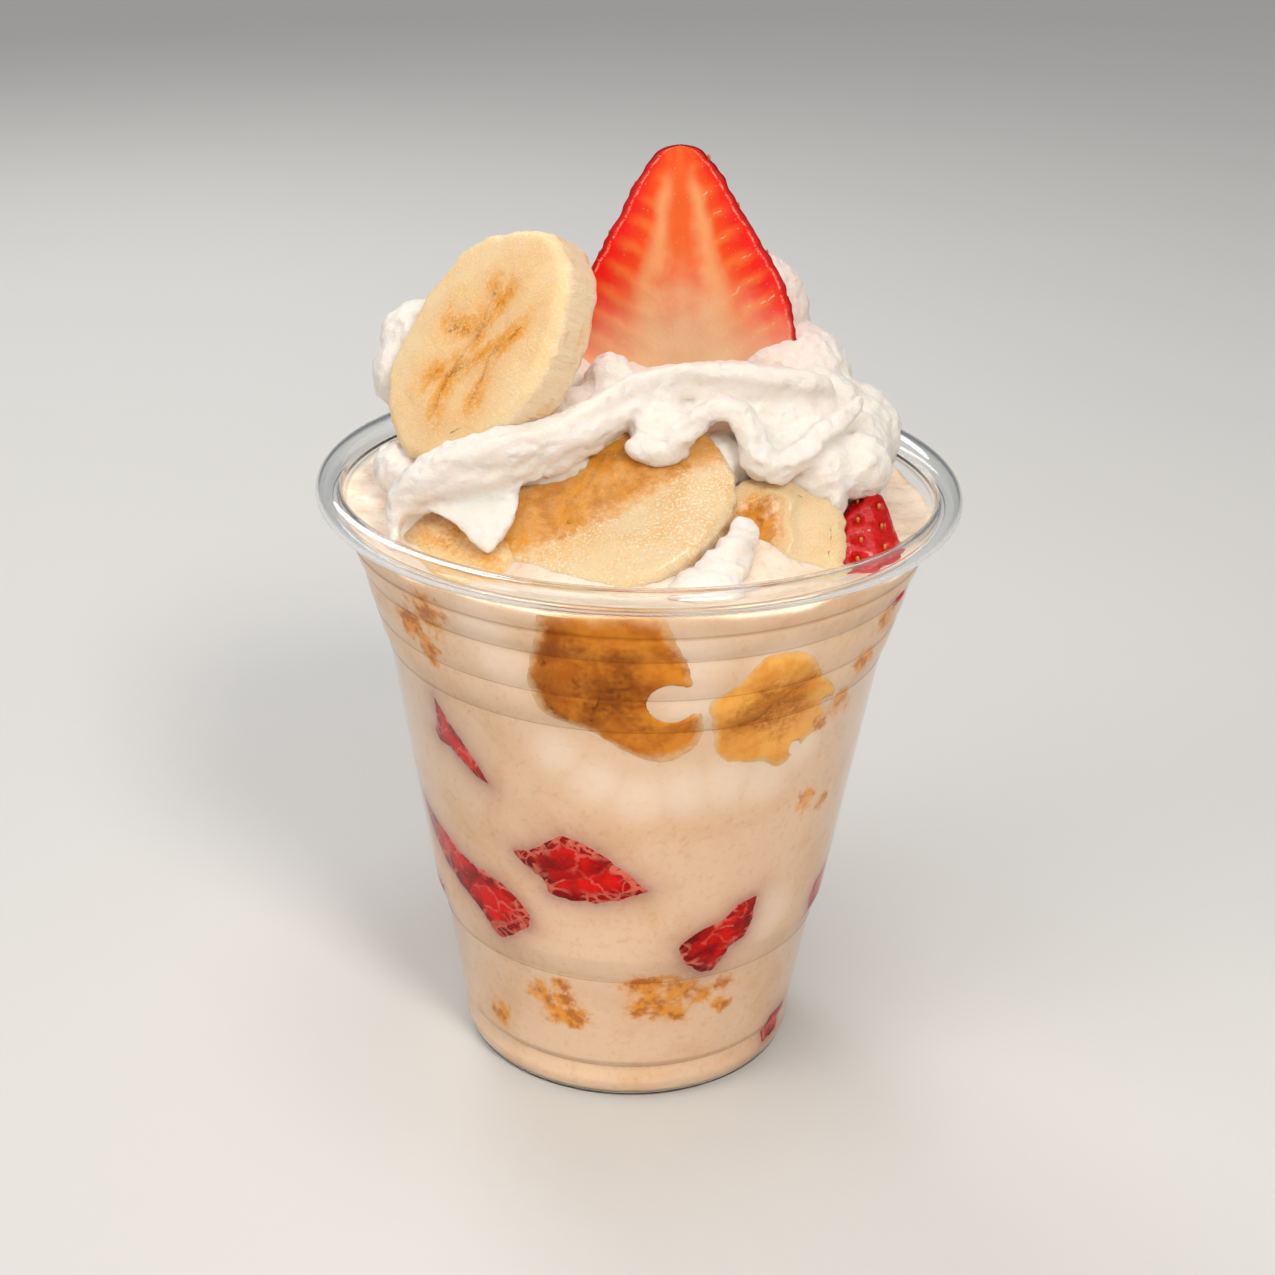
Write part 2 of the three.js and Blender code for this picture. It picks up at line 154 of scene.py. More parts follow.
def skin(rings, fields=None):
    """A closed body over rings of points, with a fan at each end: points, faces, fields."""
    rows, columns = rings.shape[:2]
    first, last = rows * columns, rows * columns + 1
    faces = ring_faces(rows, columns)
    for here in range(columns):
        there = (here + 1) % columns
        edge = (rows - 1) * columns
        faces.append((first, there, here))
        faces.append((last, edge + here, edge + there))

    def flat(values):
        tail = values.shape[2:]
        middle = [values[0].mean(axis=0), values[-1].mean(axis=0)]
        return np.concatenate([values.reshape(-1, *tail), np.array(middle)])

    return flat(rings), faces, {key: flat(value) for key, value in (fields or {}).items()}


def joined(bodies):
    """Several bodies as one: points, faces and the fields that all of them have."""
    points, faces, count = [], [], 0
    for body_points, body_faces, _ in bodies:
        points.append(body_points)
        faces += [tuple(corner + count for corner in face) for face in body_faces]
        count += len(body_points)
    keys = bodies[0][2].keys()
    fields = {key: np.concatenate([body[2][key] for body in bodies]) for key in keys}
    return np.concatenate(points), faces, fields


def mesh_of(name, body):
    points, faces, fields = body
    mesh = bpy.data.meshes.new(name)
    mesh.from_pydata((points * MM).tolist(), [], faces)
    shape = bmesh.new()
    shape.from_mesh(mesh)
    bmesh.ops.recalc_face_normals(shape, faces=shape.faces)
    shape.to_mesh(mesh)
    shape.free()
    for key, values in fields.items():
        add_field(mesh, key, values)
    return mesh


def add_field(mesh, key, values):
    kind, entry = ("FLOAT", "value") if values.ndim == 1 else ("FLOAT_VECTOR", "vector")
    layer = mesh.attributes.new(key, kind, "POINT")
    layer.data.foreach_set(entry, values.astype(np.float32).ravel())


def put(name, data):
    """A new object in the scene."""
    thing = bpy.data.objects.new(name, data)
    bpy.context.scene.collection.objects.link(thing)
    return thing


def add_piece(name, mesh, finish, node=None):
    mesh.polygons.foreach_set("use_smooth", [True] * len(mesh.polygons))
    mesh.materials.append(finish)
    piece = put(name, mesh)
    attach(piece, "root")
    if node:
        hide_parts(node)


# Materials


class Signal:
    """A number in a material. Sums and products of signals become nodes."""

    def __init__(self, graph, socket):
        self.graph = graph
        self.socket = socket

    def __add__(self, other):
        return self.graph.math("ADD", self, other)

    def __sub__(self, other):
        return self.graph.math("SUBTRACT", self, other)

    def __rsub__(self, other):
        return self.graph.math("SUBTRACT", other, self)

    def __mul__(self, other):
        return self.graph.math("MULTIPLY", self, other)

    def __truediv__(self, other):
        return self.graph.math("DIVIDE", self, other)

    __radd__ = __add__
    __rmul__ = __mul__


SOFT_INPUTS = ("Subsurface Weight", "Subsurface Radius", "Subsurface Scale")


class Graph:
    """A material's nodes, with short names for the kinds used here."""

    def __init__(self, name):
        self.material = bpy.data.materials.new(name)
        self.material.use_nodes = True
        self.tree = self.material.node_tree
        self.tree.nodes.clear()

    def feed(self, socket, value):
        if isinstance(value, Signal):
            value = value.socket
        if isinstance(value, bpy.types.NodeSocket):
            self.tree.links.new(value, socket)
        else:
            socket.default_value = value

    def node(self, kind, inputs=None, **settings):
        node = self.tree.nodes.new("ShaderNode" + kind)
        for key, value in settings.items():
            setattr(node, key, value)
        for key, value in (inputs or {}).items():
            self.feed(node.inputs[key], value)
        return node

    def math(self, operation, first, second=0.0, clamp=False):
        node = self.node("Math", {0: first, 1: second}, operation=operation, use_clamp=clamp)
        return Signal(self, node.outputs[0])

    def clamp(self, value):
        return self.math("ADD", value, 0.0, clamp=True)

    def largest(self, *values):
        result = values[0]
        for value in values[1:]:
            result = self.math("MAXIMUM", result, value)
        return result

    def step(self, value, low, high):
        """A smooth step from 0 at low to 1 at high, either way round."""
        inputs = {"Value": value, "From Min": low, "From Max": high}
        node = self.node("MapRange", inputs, interpolation_type="SMOOTHSTEP")
        return Signal(self, node.outputs[0])

    def bell(self, value, width):
        """1 where the value is 0, falling smoothly to 0 at width either side."""
        return self.step(self.math("ABSOLUTE", value), width, 0.0)

    def field(self, key):
        return self.node("Attribute", attribute_name=key)

    def number(self, key):
        return Signal(self, self.field(key).outputs["Fac"])

    def place(self, key):
        return self.field(key).outputs["Vector"]

    def where(self):
        """The place in the part, in metres."""
        return self.node("TexCoord").outputs["Object"]

    def split(self, vector):
        node = self.node("SeparateXYZ", {0: vector})
        return [Signal(self, output) for output in node.outputs]

    def vector(self, x, y, z):
        return self.node("CombineXYZ", {0: x, 1: y, 2: z}).outputs[0]

    def noise(self, vector, scale, detail=3.0, rough=0.5, twist=0.0):
        inputs = {
            "Vector": vector,
            "Scale": scale,
            "Detail": detail,
            "Roughness": rough,
            "Distortion": twist,
        }
        return Signal(self, self.node("TexNoise", inputs).outputs["Fac"])

    def cells(self, vector, scale, feature="F1"):
        node = self.node("TexVoronoi", {"Vector": vector, "Scale": scale}, feature=feature)
        return Signal(self, node.outputs["Distance"])

    def mix(self, share, first, second):
        node = self.node("Mix", data_type="RGBA")
        self.feed(node.inputs[0], share)
        self.feed(node.inputs[6], first)
        self.feed(node.inputs[7], second)
        return node.outputs[2]

    def layers(self, colour, *coats):
        """A colour under others, each given as its share and the colour itself."""
        for share, coat in coats:
            colour = self.mix(share, colour, coat)
        return colour

    def segment(self, x, y, start, end):
        """How far a place is from a straight stroke."""
        (start_x, start_y), (end_x, end_y) = start, end
        length = math.dist(start, end)
        ahead_x, ahead_y = (end_x - start_x) / length, (end_y - start_y) / length
        run_x, run_y = x - start_x, y - start_y
        along = run_x * ahead_x + run_y * ahead_y
        along = self.math("MINIMUM", self.math("MAXIMUM", along, 0.0), length)
        off_x, off_y = run_x - along * ahead_x, run_y - along * ahead_y
        return self.math("SQRT", off_x * off_x + off_y * off_y)

    def bump(self, height, distance, strength=1.0):
        inputs = {"Height": height, "Distance": distance * MM, "Strength": strength}
        return self.node("Bump", inputs).outputs[0]

    def ended(self, shader):
        """The material, with this shader as what it shows."""
        output = self.node("OutputMaterial")
        self.tree.links.new(shader.outputs[0], output.inputs["Surface"])
        return self.material

    def finish(self, colour, rough, normal=None, soft=(), shine=None):
        """A whole material. Soft is the weight, the reach and the scale of light inside."""
        inputs = {"Base Color": colour, "Roughness": rough, **(shine or {})}
        inputs.update(zip(SOFT_INPUTS, soft))
        if normal:
            inputs["Normal"] = normal
        return self.ended(self.node("BsdfPrincipled", inputs))


# Painted shade: the colour the plastic is darkened to along its moulded lines
CREASE_SHADE_COLOUR = (0.42, 0.32, 0.24, 1)
# How strongly the plastic bends and mirrors: low on the wall, where a pale floor
# would otherwise veil the colours behind it, and full on the rim
WALL_BENDING = 1.18
RIM_BENDING = 1.42


def plastic_finish(name, bending):
    """Clear plastic that bends the view but lets the lamps through to the food."""
    graph = Graph(name)
    flow = graph.noise(graph.where(), 60.0, 2.0)
    # The plastic's colour is darkened along the creases, as painted shade
    glass = graph.node(
        "BsdfPrincipled",
        {
            "Base Color": graph.mix(graph.number("crease"), (0.97, 0.98, 0.98, 1), CREASE_SHADE_COLOUR),
            "Roughness": 0.02,
            "IOR": bending,
            "Transmission Weight": 1.0,
            "Normal": graph.bump(flow, 0.05, 0.3),
        },
    )
    open_air = graph.node("BsdfTransparent", {"Color": (0.97, 0.97, 0.97, 1)})
    lamp_ray = graph.node("LightPath").outputs["Is Shadow Ray"]
    both = {0: lamp_ray, 1: glass.outputs[0], 2: open_air.outputs[0]}
    return graph.ended(graph.node("MixShader", both))


def cream_finish():
    """Pale cream with amber clouds, juice by the berries and clots of mashed banana."""
    graph = Graph("cream")
    where = graph.where()
    cloud = graph.step(graph.noise(where, 75.0, 6.0, 0.68, 0.4), 0.44, 0.7)
    speck = graph.step(graph.noise(where, 700.0, 4.0, 0.7), 0.5, 0.72)
    juice = graph.number("juice")
    clots = graph.number("clots")
    open_top = graph.number("open_top")
    pale = graph.mix(open_top, srgb(226, 194, 162), srgb(244, 226, 206))
    ragged = (graph.noise(where, 420.0, 5.0, 0.66) - 0.5) * 3.4
    crumb = graph.step(clots + ragged, 0.3, 1.1) * graph.step(clots, 0.06, 0.4)
    haze = graph.step(clots + ragged * 0.5, 0.1, 0.9) * graph.step(clots, 0.02, 0.4)
    # Paler blots at the wall; the row under the bananas is a painted highlight
    blot = graph.step(graph.number("pale") + (cloud - 0.5) * 0.2 + ragged * 0.05, 0.1, 0.95)
    tone = graph.step(graph.noise(where, 520.0, 3.0), 0.4, 0.6)
    golden = graph.mix(tone, srgb(184, 102, 0), srgb(226, 148, 16))
    stain = graph.clamp(juice * (graph.noise(where, 260.0, 3.0) * 0.8 + 0.5))
    colour = graph.layers(
        pale,
        (graph.clamp(cloud * 0.45 + speck * 0.4), srgb(208, 158, 104)),
        (blot * 0.5, srgb(246, 228, 210)),
        (haze * 0.7, srgb(226, 154, 58)),
        (crumb * 0.95, golden),
        (stain * 0.75, srgb(158, 92, 88)),
    )
    rough = graph.noise(where, 300.0, 2.0) * 0.2 + 0.32
    normal = graph.bump(graph.noise(where, 500.0, 4.0), 0.12, 0.5)
    return graph.finish(colour, rough, normal, (0.35, (1.0, 0.7, 0.45), 0.0018))


def whipped_finish():
    graph = Graph("whipped_cream")
    where = graph.where()
    foam = graph.noise(where, 1100.0, 5.0, 0.7)
    fold_and_shade = graph.noise(where, 160.0, 4.0, 0.55, 0.6)
    blush = graph.number("blush")
    # Warm painted shade, laid by the same noise that raises the folds
    colour = graph.layers(
        srgb(248, 243, 237), (fold_and_shade * 0.6, srgb(240, 221, 201)), (blush * 0.32, srgb(244, 190, 176))
    )
    normal = graph.bump(foam + fold_and_shade * 0.8, 0.5, 0.75)
    soft = 0.4, (1.0, 0.55, 0.3), 0.002
    return graph.finish(colour, 0.5, normal, soft, {"Specular IOR Level": 0.35})


# Strokes on a banana's face, each from a place to a place in shares of its half size
HEART_STROKES = [
    ((0.5, 0.04), (0.1, 0.06)), ((0.4, 0.2), (0.1, 0.06)), ((-0.02, 0.4), (0.06, 0.08)),
    ((0.1, 0.06), (-0.3, -0.02)), ((-0.46, 0.16), (-0.28, 0.0)), ((-0.28, 0.0), (-0.54, -0.24)),
    ((-0.2, -0.04), (0.04, -0.32)), ((0.04, -0.32), (0.4, -0.4)),
    ((-0.02, -0.34), (-0.26, -0.52)),
]
FRONT_STROKES = [
    ((0.22, 0.26), (0.0, 0.34)), ((0.0, 0.34), (-0.3, -0.05)), ((-0.34, -0.08), (-0.32, -0.28)),
    ((0.22, 0.26), (0.5, 0.3)),
]
FOLDED_STROKES = [
    ((0.1, 0.62), (0.04, 0.36)), ((0.04, 0.36), (-0.12, 0.2)),
]
WALL_STROKES = [
    ((-0.6, 0.6), (-0.66, 0.36)), ((-0.72, 0.3), (-0.7, -0.1)), ((-0.7, -0.1), (-0.56, -0.42)),
    ((-0.08, -0.02), (0.28, 0.04)), ((-0.08, -0.02), (-0.14, -0.4)),
]
FOLD_STROKES = [
    ((-0.4, -0.2), (0.1, 0.1)), ((0.1, 0.1), (0.56, 0.4)), ((0.1, 0.1), (0.4, 0.05)),
]


def off_strokes(graph, x, y, strokes):
    """How far a place is from the nearest of the strokes."""
    off = 9.0
    for start, end in strokes:
        off = graph.math("MINIMUM", graph.segment(x, y, start, end), off)
    return off


def banana_side(graph, turn, depth, seed, deep, amber):
    """The side of a slice: its colour, and the strings that run across it."""
    strings = graph.noise(graph.vector(turn * 9.0, depth * 0.12, seed), 3.0, 4.0, 0.65)
    bruise = graph.step(graph.noise(graph.vector(turn * 2.0, depth * 0.3, seed), 1.6), 0.5, 0.7)
    colour = graph.layers(
        srgb(255, 226, 190),
        (bruise * 0.35, amber),
        (graph.step(strings, 0.45, 0.7) * 0.3, deep),
    )
    return colour, strings


def banana_finish(name, tones, strokes, wet_and_sparkle, murkiness, veil=0.0):
    """Banana flesh: a pale face with an amber heart and brown seams, and a stringy side."""
    graph = Graph(name)
    face, deep, amber, mark = tones
    x, y, depth = graph.split(graph.place("spot"))
    seed = graph.number("seed")
    amber_and_shade = graph.number("amber_and_shade")
    share = graph.number("share")
    local = graph.vector(x, y, depth * 0.05 + seed)
    swapped = graph.vector(y, x, seed + 4.0)
    turn = graph.math("ARCTAN2", y, x)
    reach = graph.math("SQRT", x * x + y * y)
    sway = graph.noise(local, 2.6, 3.0) - 0.5
    drift = graph.noise(swapped, 3.0, 3.0) - 0.5
    shiver = graph.noise(local, 13.0, 4.0, 0.65) - 0.5
    fine = graph.noise(local, 14.0, 4.0, 0.6)
    bent_x = x + sway * 0.24 + shiver * 0.26
    bent_y = y + drift * 0.24 + shiver * 0.18
    off = off_strokes(graph, bent_x, bent_y, strokes)
    patchy = graph.step(graph.noise(local, 4.0, 3.0, 0.6), 0.32, 0.62)
    broken = graph.step(graph.noise(swapped, 6.0, 3.0, 0.65), 0.4, 0.64)
    heart = graph.step(off, 0.24, 0.03) * (patchy * 0.5 + 0.5)
    pool = graph.step(off, 0.5, 0.0) * 0.45
    seams = graph.step(off, 0.045, 0.0) * (broken * 0.8 + 0.2)
    rays = graph.noise(graph.vector(turn * 5.0, reach * 1.2, seed), 2.0, 4.0, 0.6)
    on_face = graph.step(depth, -1.6, -0.3)
    murk = graph.noise(local, 3.0, 5.0, 0.62)
    # Amber patches: the flesh's own amber, and partly painted shade and shadow on the slices on top
    amber_and_shade_mask = graph.step(amber_and_shade + sway * 0.9 + shiver * 1.1, 0.2, 0.8)
    brown = graph.step(off, 0.46, 0.04) * amber_and_shade_mask * graph.step(murk + shiver * 0.5, 0.36, 0.62)
    colour = graph.layers(
        face,
        (graph.step(rays, 0.45, 0.8) * 0.14, deep),
        (graph.step(murk, 0.38, 0.68) * murkiness, deep),
        (graph.step(fine, 0.55, 0.8) * 0.2, deep),
        (amber_and_shade_mask * (murk * 1.1 + 0.25), amber),
        (amber_and_shade_mask * graph.step(fine, 0.46, 0.7) * 0.3, face),
        (brown * 0.75, mark),
        (graph.largest(heart, pool) * on_face * 0.95, amber),
        (seams * on_face * 0.6, mark),
    )
    side, strings = banana_side(graph, turn, depth, seed, deep, amber)
    # Painted sparkle: pale specks standing for glints on the wet flesh, kept off the amber
    painted_sparkle = graph.step(graph.noise(local, 44.0, 2.0), 0.52, 0.64) * wet_and_sparkle * (1.0 - amber_and_shade_mask)
    painted_sparkle = painted_sparkle * graph.step(murk + sway * 0.4, 0.3, 0.52)
    film = graph.step(share + sway * 0.3 + shiver * 0.2, 0.84, 1.02)
    cover = graph.step(y + sway * 0.3, 0.74, 0.94) * veil
    colour = graph.layers(
        graph.mix(on_face, side, colour),
        (painted_sparkle * on_face, srgb(255, 244, 216)),
        (graph.largest(film * 0.75, cover), srgb(232, 196, 154)),
    )
    relief = fine * 0.5 + strings * (1.0 - on_face) * 2.0 - heart * 0.5
    sugar = graph.noise(local, 42.0, 3.0, 0.7)
    normal = graph.bump(relief + sugar * wet_and_sparkle * 2.4, 0.5, 0.7)
    soft = 0.45, (1.0, 0.5, 0.2), 0.0025
    shine = {"Specular IOR Level": 0.1 + wet_and_sparkle * 0.6, "Coat Weight": 0.5 * wet_and_sparkle, "Coat Roughness": 0.25}
    return graph.finish(colour, 0.62 - sugar * wet_and_sparkle * 0.9, normal, soft, shine)


def berry_veins(graph, spot, local, sway):
    """Pale veins of a cut strawberry, up and outwards, and thin bright hairs along them."""
    x, below, radius = spot
    off = graph.math("ABSOLUTE", x)
    across = off / graph.largest(radius, 0.5)
    inset = radius - off
    side = graph.step(x, -0.5, 0.5)
    phase = graph.math("FRACT", (below + off * 0.72 + side * 1.7) / 4.6 + sway * 0.9)
    vein = graph.bell(phase - 0.5, 0.4) * graph.step(across, 0.2, 0.34)
    vein = vein * graph.step(inset, 0.6, 4.6)
    hair = graph.bell(phase - 0.5, 0.04) * graph.step(graph.noise(local, 0.7, 2.0), 0.5, 0.58)
    hair = hair * graph.step(inset, 0.8, 1.6) * graph.step(across, 0.3, 0.5) * side
    return vein, hair, across, inset


def strawberry_finish(name, gloss, rough):
    """A strawberry: glossy skin, and a cut face with a pale base and a thin dark rim."""
    graph = Graph(name)
    spot = graph.split(graph.place("spot"))
    x, below, _ = spot
    share = graph.number("share")
    cut = graph.number("cut")
    local = graph.vector(x, below, cut)
    sway = graph.noise(local, 0.22, 3.0) - 0.5
    fine = graph.noise(local, 1.6, 4.0, 0.65)
    vein, hair, across, inset = berry_veins(graph, spot, local, sway)
    red, orange = srgb(250, 20, 2), srgb(254, 84, 10)
    pink, straw = srgb(255, 172, 112), srgb(255, 218, 174)
    outer = graph.step(across + sway * 0.3, 0.42, 0.86)
    core = graph.step(across + sway * 0.16, 0.26, 0.06)
    band = graph.bell(across - 0.3 + sway * 0.3, 0.24) * graph.step(below, 2.0, 8.0)
    base = graph.step(share + sway * 0.2 - across * 0.22, 0.28, 0.74)
    rim = graph.step(inset + fine * 0.5, 1.15, 0.55)
    line = graph.bell(inset - 0.95 + sway * 0.6, 0.3) * graph.step(fine, 0.42, 0.56)
    # Fine bright specks on the cut face, partly the flesh's own and partly painted glints
    speck = graph.step(graph.cells(local, 1.1), 0.13, 0.05)
    flesh = graph.layers(
        orange,
        (outer, red),
        (vein * 0.75, srgb(255, 126, 48)),
        (core * 0.8, srgb(254, 108, 36)),
        (band * 0.9, pink),
        (base * 0.9, straw),
        (hair * 0.7, srgb(255, 214, 190)),
        (rim, srgb(196, 8, 10)),
        (line * 0.6, srgb(255, 178, 150)),
        (speck * 0.4, srgb(255, 206, 160)),
    )
    outside = graph.layers(
        srgb(200, 6, 2),
        (graph.step(fine, 0.4, 0.7) * 0.6, srgb(124, 0, 2)),
        (graph.step(share, 0.86, 1.0) * 0.6, srgb(236, 160, 120)),
    )
    pocks = graph.noise(graph.where(), 900.0, 3.0, 0.6)
    relief = fine * 0.5 - vein * 0.35 + hair * 0.4 + graph.noise(local, 5.0, 2.0) * 0.3
    relief = relief + pocks * rough
    colour = graph.mix(cut, outside, flesh)
    soft = 0.25, (1.0, 0.2, 0.08), 0.002
    shine = {"Specular IOR Level": 0.3, "Coat Weight": gloss, "Coat Roughness": 0.12}
    return graph.finish(colour, cut * 0.12 + 0.24, graph.bump(relief, 0.4, 0.5), soft, shine)


def wall_berry_finish():
    """Strawberry seen through the wall: red cells with pink cream run in between them."""
    graph = Graph("strawberry_wall")
    x, y, reach = graph.split(graph.place("spot"))
    seed = graph.number("seed")
    plain = graph.vector(x, y, seed)
    sway = graph.noise(plain, 0.35, 3.0) - 0.5
    curl = graph.noise(graph.vector(y, x, seed + 3.0), 0.9, 3.0) - 0.5
    local = graph.vector(x + sway * 3.0 + curl * 1.6, y * 1.15 - sway * 2.4 + curl * 1.2, seed)
    gap = graph.cells(local, 0.23, feature="DISTANCE_TO_EDGE")
    bead_gap = graph.cells(local, 0.42, feature="DISTANCE_TO_EDGE")
    tone = graph.noise(plain, 0.2, 2.0)
    fine = graph.noise(local, 1.5, 3.0)
    width = graph.noise(plain, 0.8, 3.0)
    there = graph.step(graph.noise(local, 0.26, 3.0), 0.42, 0.6)
    edge = graph.step(reach + sway * 0.5, 0.6, 0.86)
    film = graph.step(gap - width * 0.08, 0.01, -0.006) * there
    beads = graph.step(bead_gap - width * 0.2, 0.03, -0.04) * edge
    beads = beads * graph.step(graph.noise(plain, 0.3, 2.0), 0.4, 0.52)
    # Cell middles are painted brighter red, partly as painted glints on the wet cells
    dome = graph.step(gap, 0.02, 0.3)
    colour = graph.layers(
        srgb(126, 0, 0),
        (graph.step(tone, 0.34, 0.6), srgb(206, 6, 0)),
        (dome * 0.25, srgb(232, 16, 0)),
        # Orange-red streaks: painted highlight
        (graph.step(fine, 0.54, 0.78) * 0.4, srgb(236, 60, 16)),
        (edge * 0.6, srgb(84, 0, 2)),
        (graph.largest(film * 0.55, beads * 0.75), srgb(214, 112, 90)),
    )
    normal = graph.bump(fine * 0.4 + dome, 0.3, 0.6)
    return graph.finish(colour, 0.45, normal, shine={"Specular IOR Level": 0.06})


def seed_finish():
    graph = Graph("strawberry_seed")
    tone = graph.noise(graph.where(), 700.0, 2.0)
    colour = graph.mix(tone, srgb(214, 150, 50), srgb(170, 78, 24))
    return graph.finish(colour, 0.35, graph.bump(tone, 0.1, 0.5), shine={"Coat Weight": 0.3})


def floor_finish():
    graph = Graph("floor")
    tone = graph.noise(graph.where(), 9.0, 4.0)
    return graph.finish(graph.mix(tone * 0.3, srgb(222, 220, 216), srgb(210, 207, 202)), 0.7)


# The cup


def wall_profile():
    """The wall's outside, each ring bulging out over its crease: radius and height."""
    points = np.array(LOWER_WALL, float)
    share = np.arange(1, RING_STEPS + 1) / RING_STEPS
    ahead = np.stack([share + RING_BULGE * share * (1 - share), share], -1)
    for ring in RINGS:
        points = np.vstack([points, points[-1] + (np.array(ring) - points[-1]) * ahead])
    return points


WALL_PROFILE = wall_profile()


def inner_radius(height):
    """The radius of the wall's inside at a height."""
    return np.interp(height, WALL_PROFILE[:, 1], WALL_PROFILE[:, 0]) - WALL


def tightened(profile):
    """A profile with points close to its corners, so that shading stays crisp at them."""
    result = [profile[0]]
    for start, end in zip(profile[:-1], profile[1:]):
        start, end = np.array(start), np.array(end)
        length = np.linalg.norm(end - start)
        if length > 4 * CORNER_REACH:
            step = (end - start) / length * CORNER_REACH
            result += [start + step, end - step]
        result.append(end)
    return np.array(result)


# The moulded lines that show round the cup, and how far each spreads and stands out; along them the
# plastic is painted darker, as shade
CREASES = [6.9, 24.6, 71.6, 77.5, 84.2, 88.6, 93.5]
CREASE_REACH = 0.22
CREASE_RISE = 0.16
CUP_COLUMNS = 360
CREASE_TOP = 93  # above this a line only tints the plastic
RIM_FROM = 93.5  # above this the plastic shows its full gloss
LIP_STEP = 15
LIP_END = -120


def lip_arc(radius):
    middle = RIM_RADIUS - LIP_RADIUS, CUP_HEIGHT - LIP_RADIUS
    angles = [math.radians(angle) for angle in range(180, LIP_END - 1, -LIP_STEP)]
    return [
        (middle[0] + radius * math.cos(angle), middle[1] + radius * math.sin(angle))
        for angle in angles
    ]


def lathe(profile, columns):
    """Rings of points round the Z axis from a profile of radius and height."""
    turn = around(columns)
    radius, height = np.asarray(profile).T
    x = radius[:, None] * np.sin(turn)
    y = -radius[:, None] * np.cos(turn)
    return np.stack([x, y, np.broadcast_to(height[:, None], x.shape)], -1)


def crease_at(height):
    off = np.min(np.abs(np.asarray(height)[:, None] - np.array(CREASES)), axis=1)
    return blend(CREASE_REACH, 0, off)


def build_cup():
    outside = [
        (0.5, FLOOR_LIFT),
        (FOOT_INNER_RADIUS - WALL, FLOOR_LIFT),
        (FOOT_INNER_RADIUS, 0),
        *WALL_PROFILE,
        *lip_arc(LIP_RADIUS - WALL),
    ]
    inside = [
        (0.5, FLOOR_LIFT + WALL),
        (FOOT_RADIUS - 2 * WALL, FLOOR_LIFT + WALL),
        *(WALL_PROFILE[1:] - (WALL, 0)),
        *lip_arc(LIP_RADIUS),
    ]
    outside, inside = tightened(outside), tightened(inside)
    lines = crease_at(outside[:, 1]) * (outside[:, 0] > FOOT_RADIUS)
    outside[:, 0] += CREASE_RISE * lines * (outside[:, 1] < CREASE_TOP)
    profile = np.vstack([outside, inside[::-1]])
    crease = np.concatenate([lines, np.zeros(len(inside))])[:, None]
    fields = {"crease": np.broadcast_to(crease, (len(profile), CUP_COLUMNS))}
    mesh = mesh_of("cup_wall", skin(lathe(profile, CUP_COLUMNS), fields))
    mesh.materials.append(plastic_finish("clear_plastic", WALL_BENDING))
    add_piece("cup_wall", mesh, plastic_finish("clear_rim", RIM_BENDING), "cup")
    rim = [int(face.center.z > RIM_FROM * MM) for face in mesh.polygons]
    mesh.polygons.foreach_set("material_index", rim)


# Fruit against the wall

KITE = [(-0.5, 0.05), (-0.2, 0.45), (0.06, 0.5), (0.5, -0.06), (0.24, -0.44), (-0.08, -0.5)]
OVAL_CORNERS = 14


def turned(corners, tilt):
    lean = math.radians(tilt)
    return [
        (x * math.cos(lean) - y * math.sin(lean), x * math.sin(lean) + y * math.cos(lean))
        for x, y in corners
    ]


def kite(along, across, tilt):
    """The corners of a blunt kite, right and up from its middle."""
    return turned([(x * along, y * across) for x, y in KITE], tilt)


def oval(along, across, tilt):
    angles = [TAU * number / OVAL_CORNERS for number in range(OVAL_CORNERS)]
    corners = [(along / 2 * math.cos(a), across / 2 * math.sin(a)) for a in angles]
    return turned(corners, tilt)


UPPER_BERRY = [
    (-4.5, 6.5), (-2, 3.5), (0, 1.5), (2, -0.5), (4, -3), (5.5, -5.5), (3.5, -5), (1, -3.5),
    (-2, -1.5), (-4.5, -1.5), (-5.5, 0), (-4.5, 2),
]
LEFT_BERRY = [
    (-17, 9), (-12, 6.5), (-8, 5), (-5.5, 3.5), (-2, 2.5), (1.5, 2), (4, 1.5), (7, -0.5),
    (9, -3.5), (8.5, -5.5), (5, -8.5), (2.5, -10), (1, -9), (-1, -6.5), (-4, -4.5), (-7, -3),
    (-10, -1), (-14, 3),
]
FRONT_BERRY = [
    (-10.5, 1), (-7.5, 2), (-4, 5), (-2.5, 6), (0.5, 5.5), (4, 3), (8, -0.5), (9.5, -2.5),
    (10.5, -3.2), (8.5, -4), (6.5, -5), (3, -6), (-0.5, -6), (-3.5, -6), (-5, -5.5), (-5.5, -3),
    (-7.5, -2), (-9.5, -0.5),
]
RIGHT_BERRY = [
    (-6, -1), (-5.5, 0), (-2, 2.5), (1, 3.5), (3.5, 6), (6.5, 6.5), (6.5, 2.5), (5.5, -1),
    (2.5, -2.5), (0.5, -7), (-1.5, -7), (-5, -3.5),
]
LEFT_SLICE = [
    (-9.5, 14.5), (-10, 7.5), (-11.5, 2), (-11.5, -2.5), (-9, -6.5), (-5.5, -7), (-2, -8),
    (3, -11.5), (6, -13), (8.5, -13.5), (11, -12.5), (13.5, -10), (14, -7), (12.5, -2), (12, 3),
    (11, 6.5), (9, 11), (8, 14.5),
]
RIGHT_SLICE = [
    (-10.5, 3.5), (-6, 5.5), (-3.5, 10), (-1, 11), (2, 10.5), (5.5, 9.5), (7.5, 7), (9.5, 3.5),
    (12.5, 1.5), (14, -1.5), (12.5, -5), (8.5, -7.5), (5.5, -10.5), (4.5, -12), (1, -9),
    (-2, -8.5), (-5, -8.5), (-8, -4.5), (-8, -1.5),
]
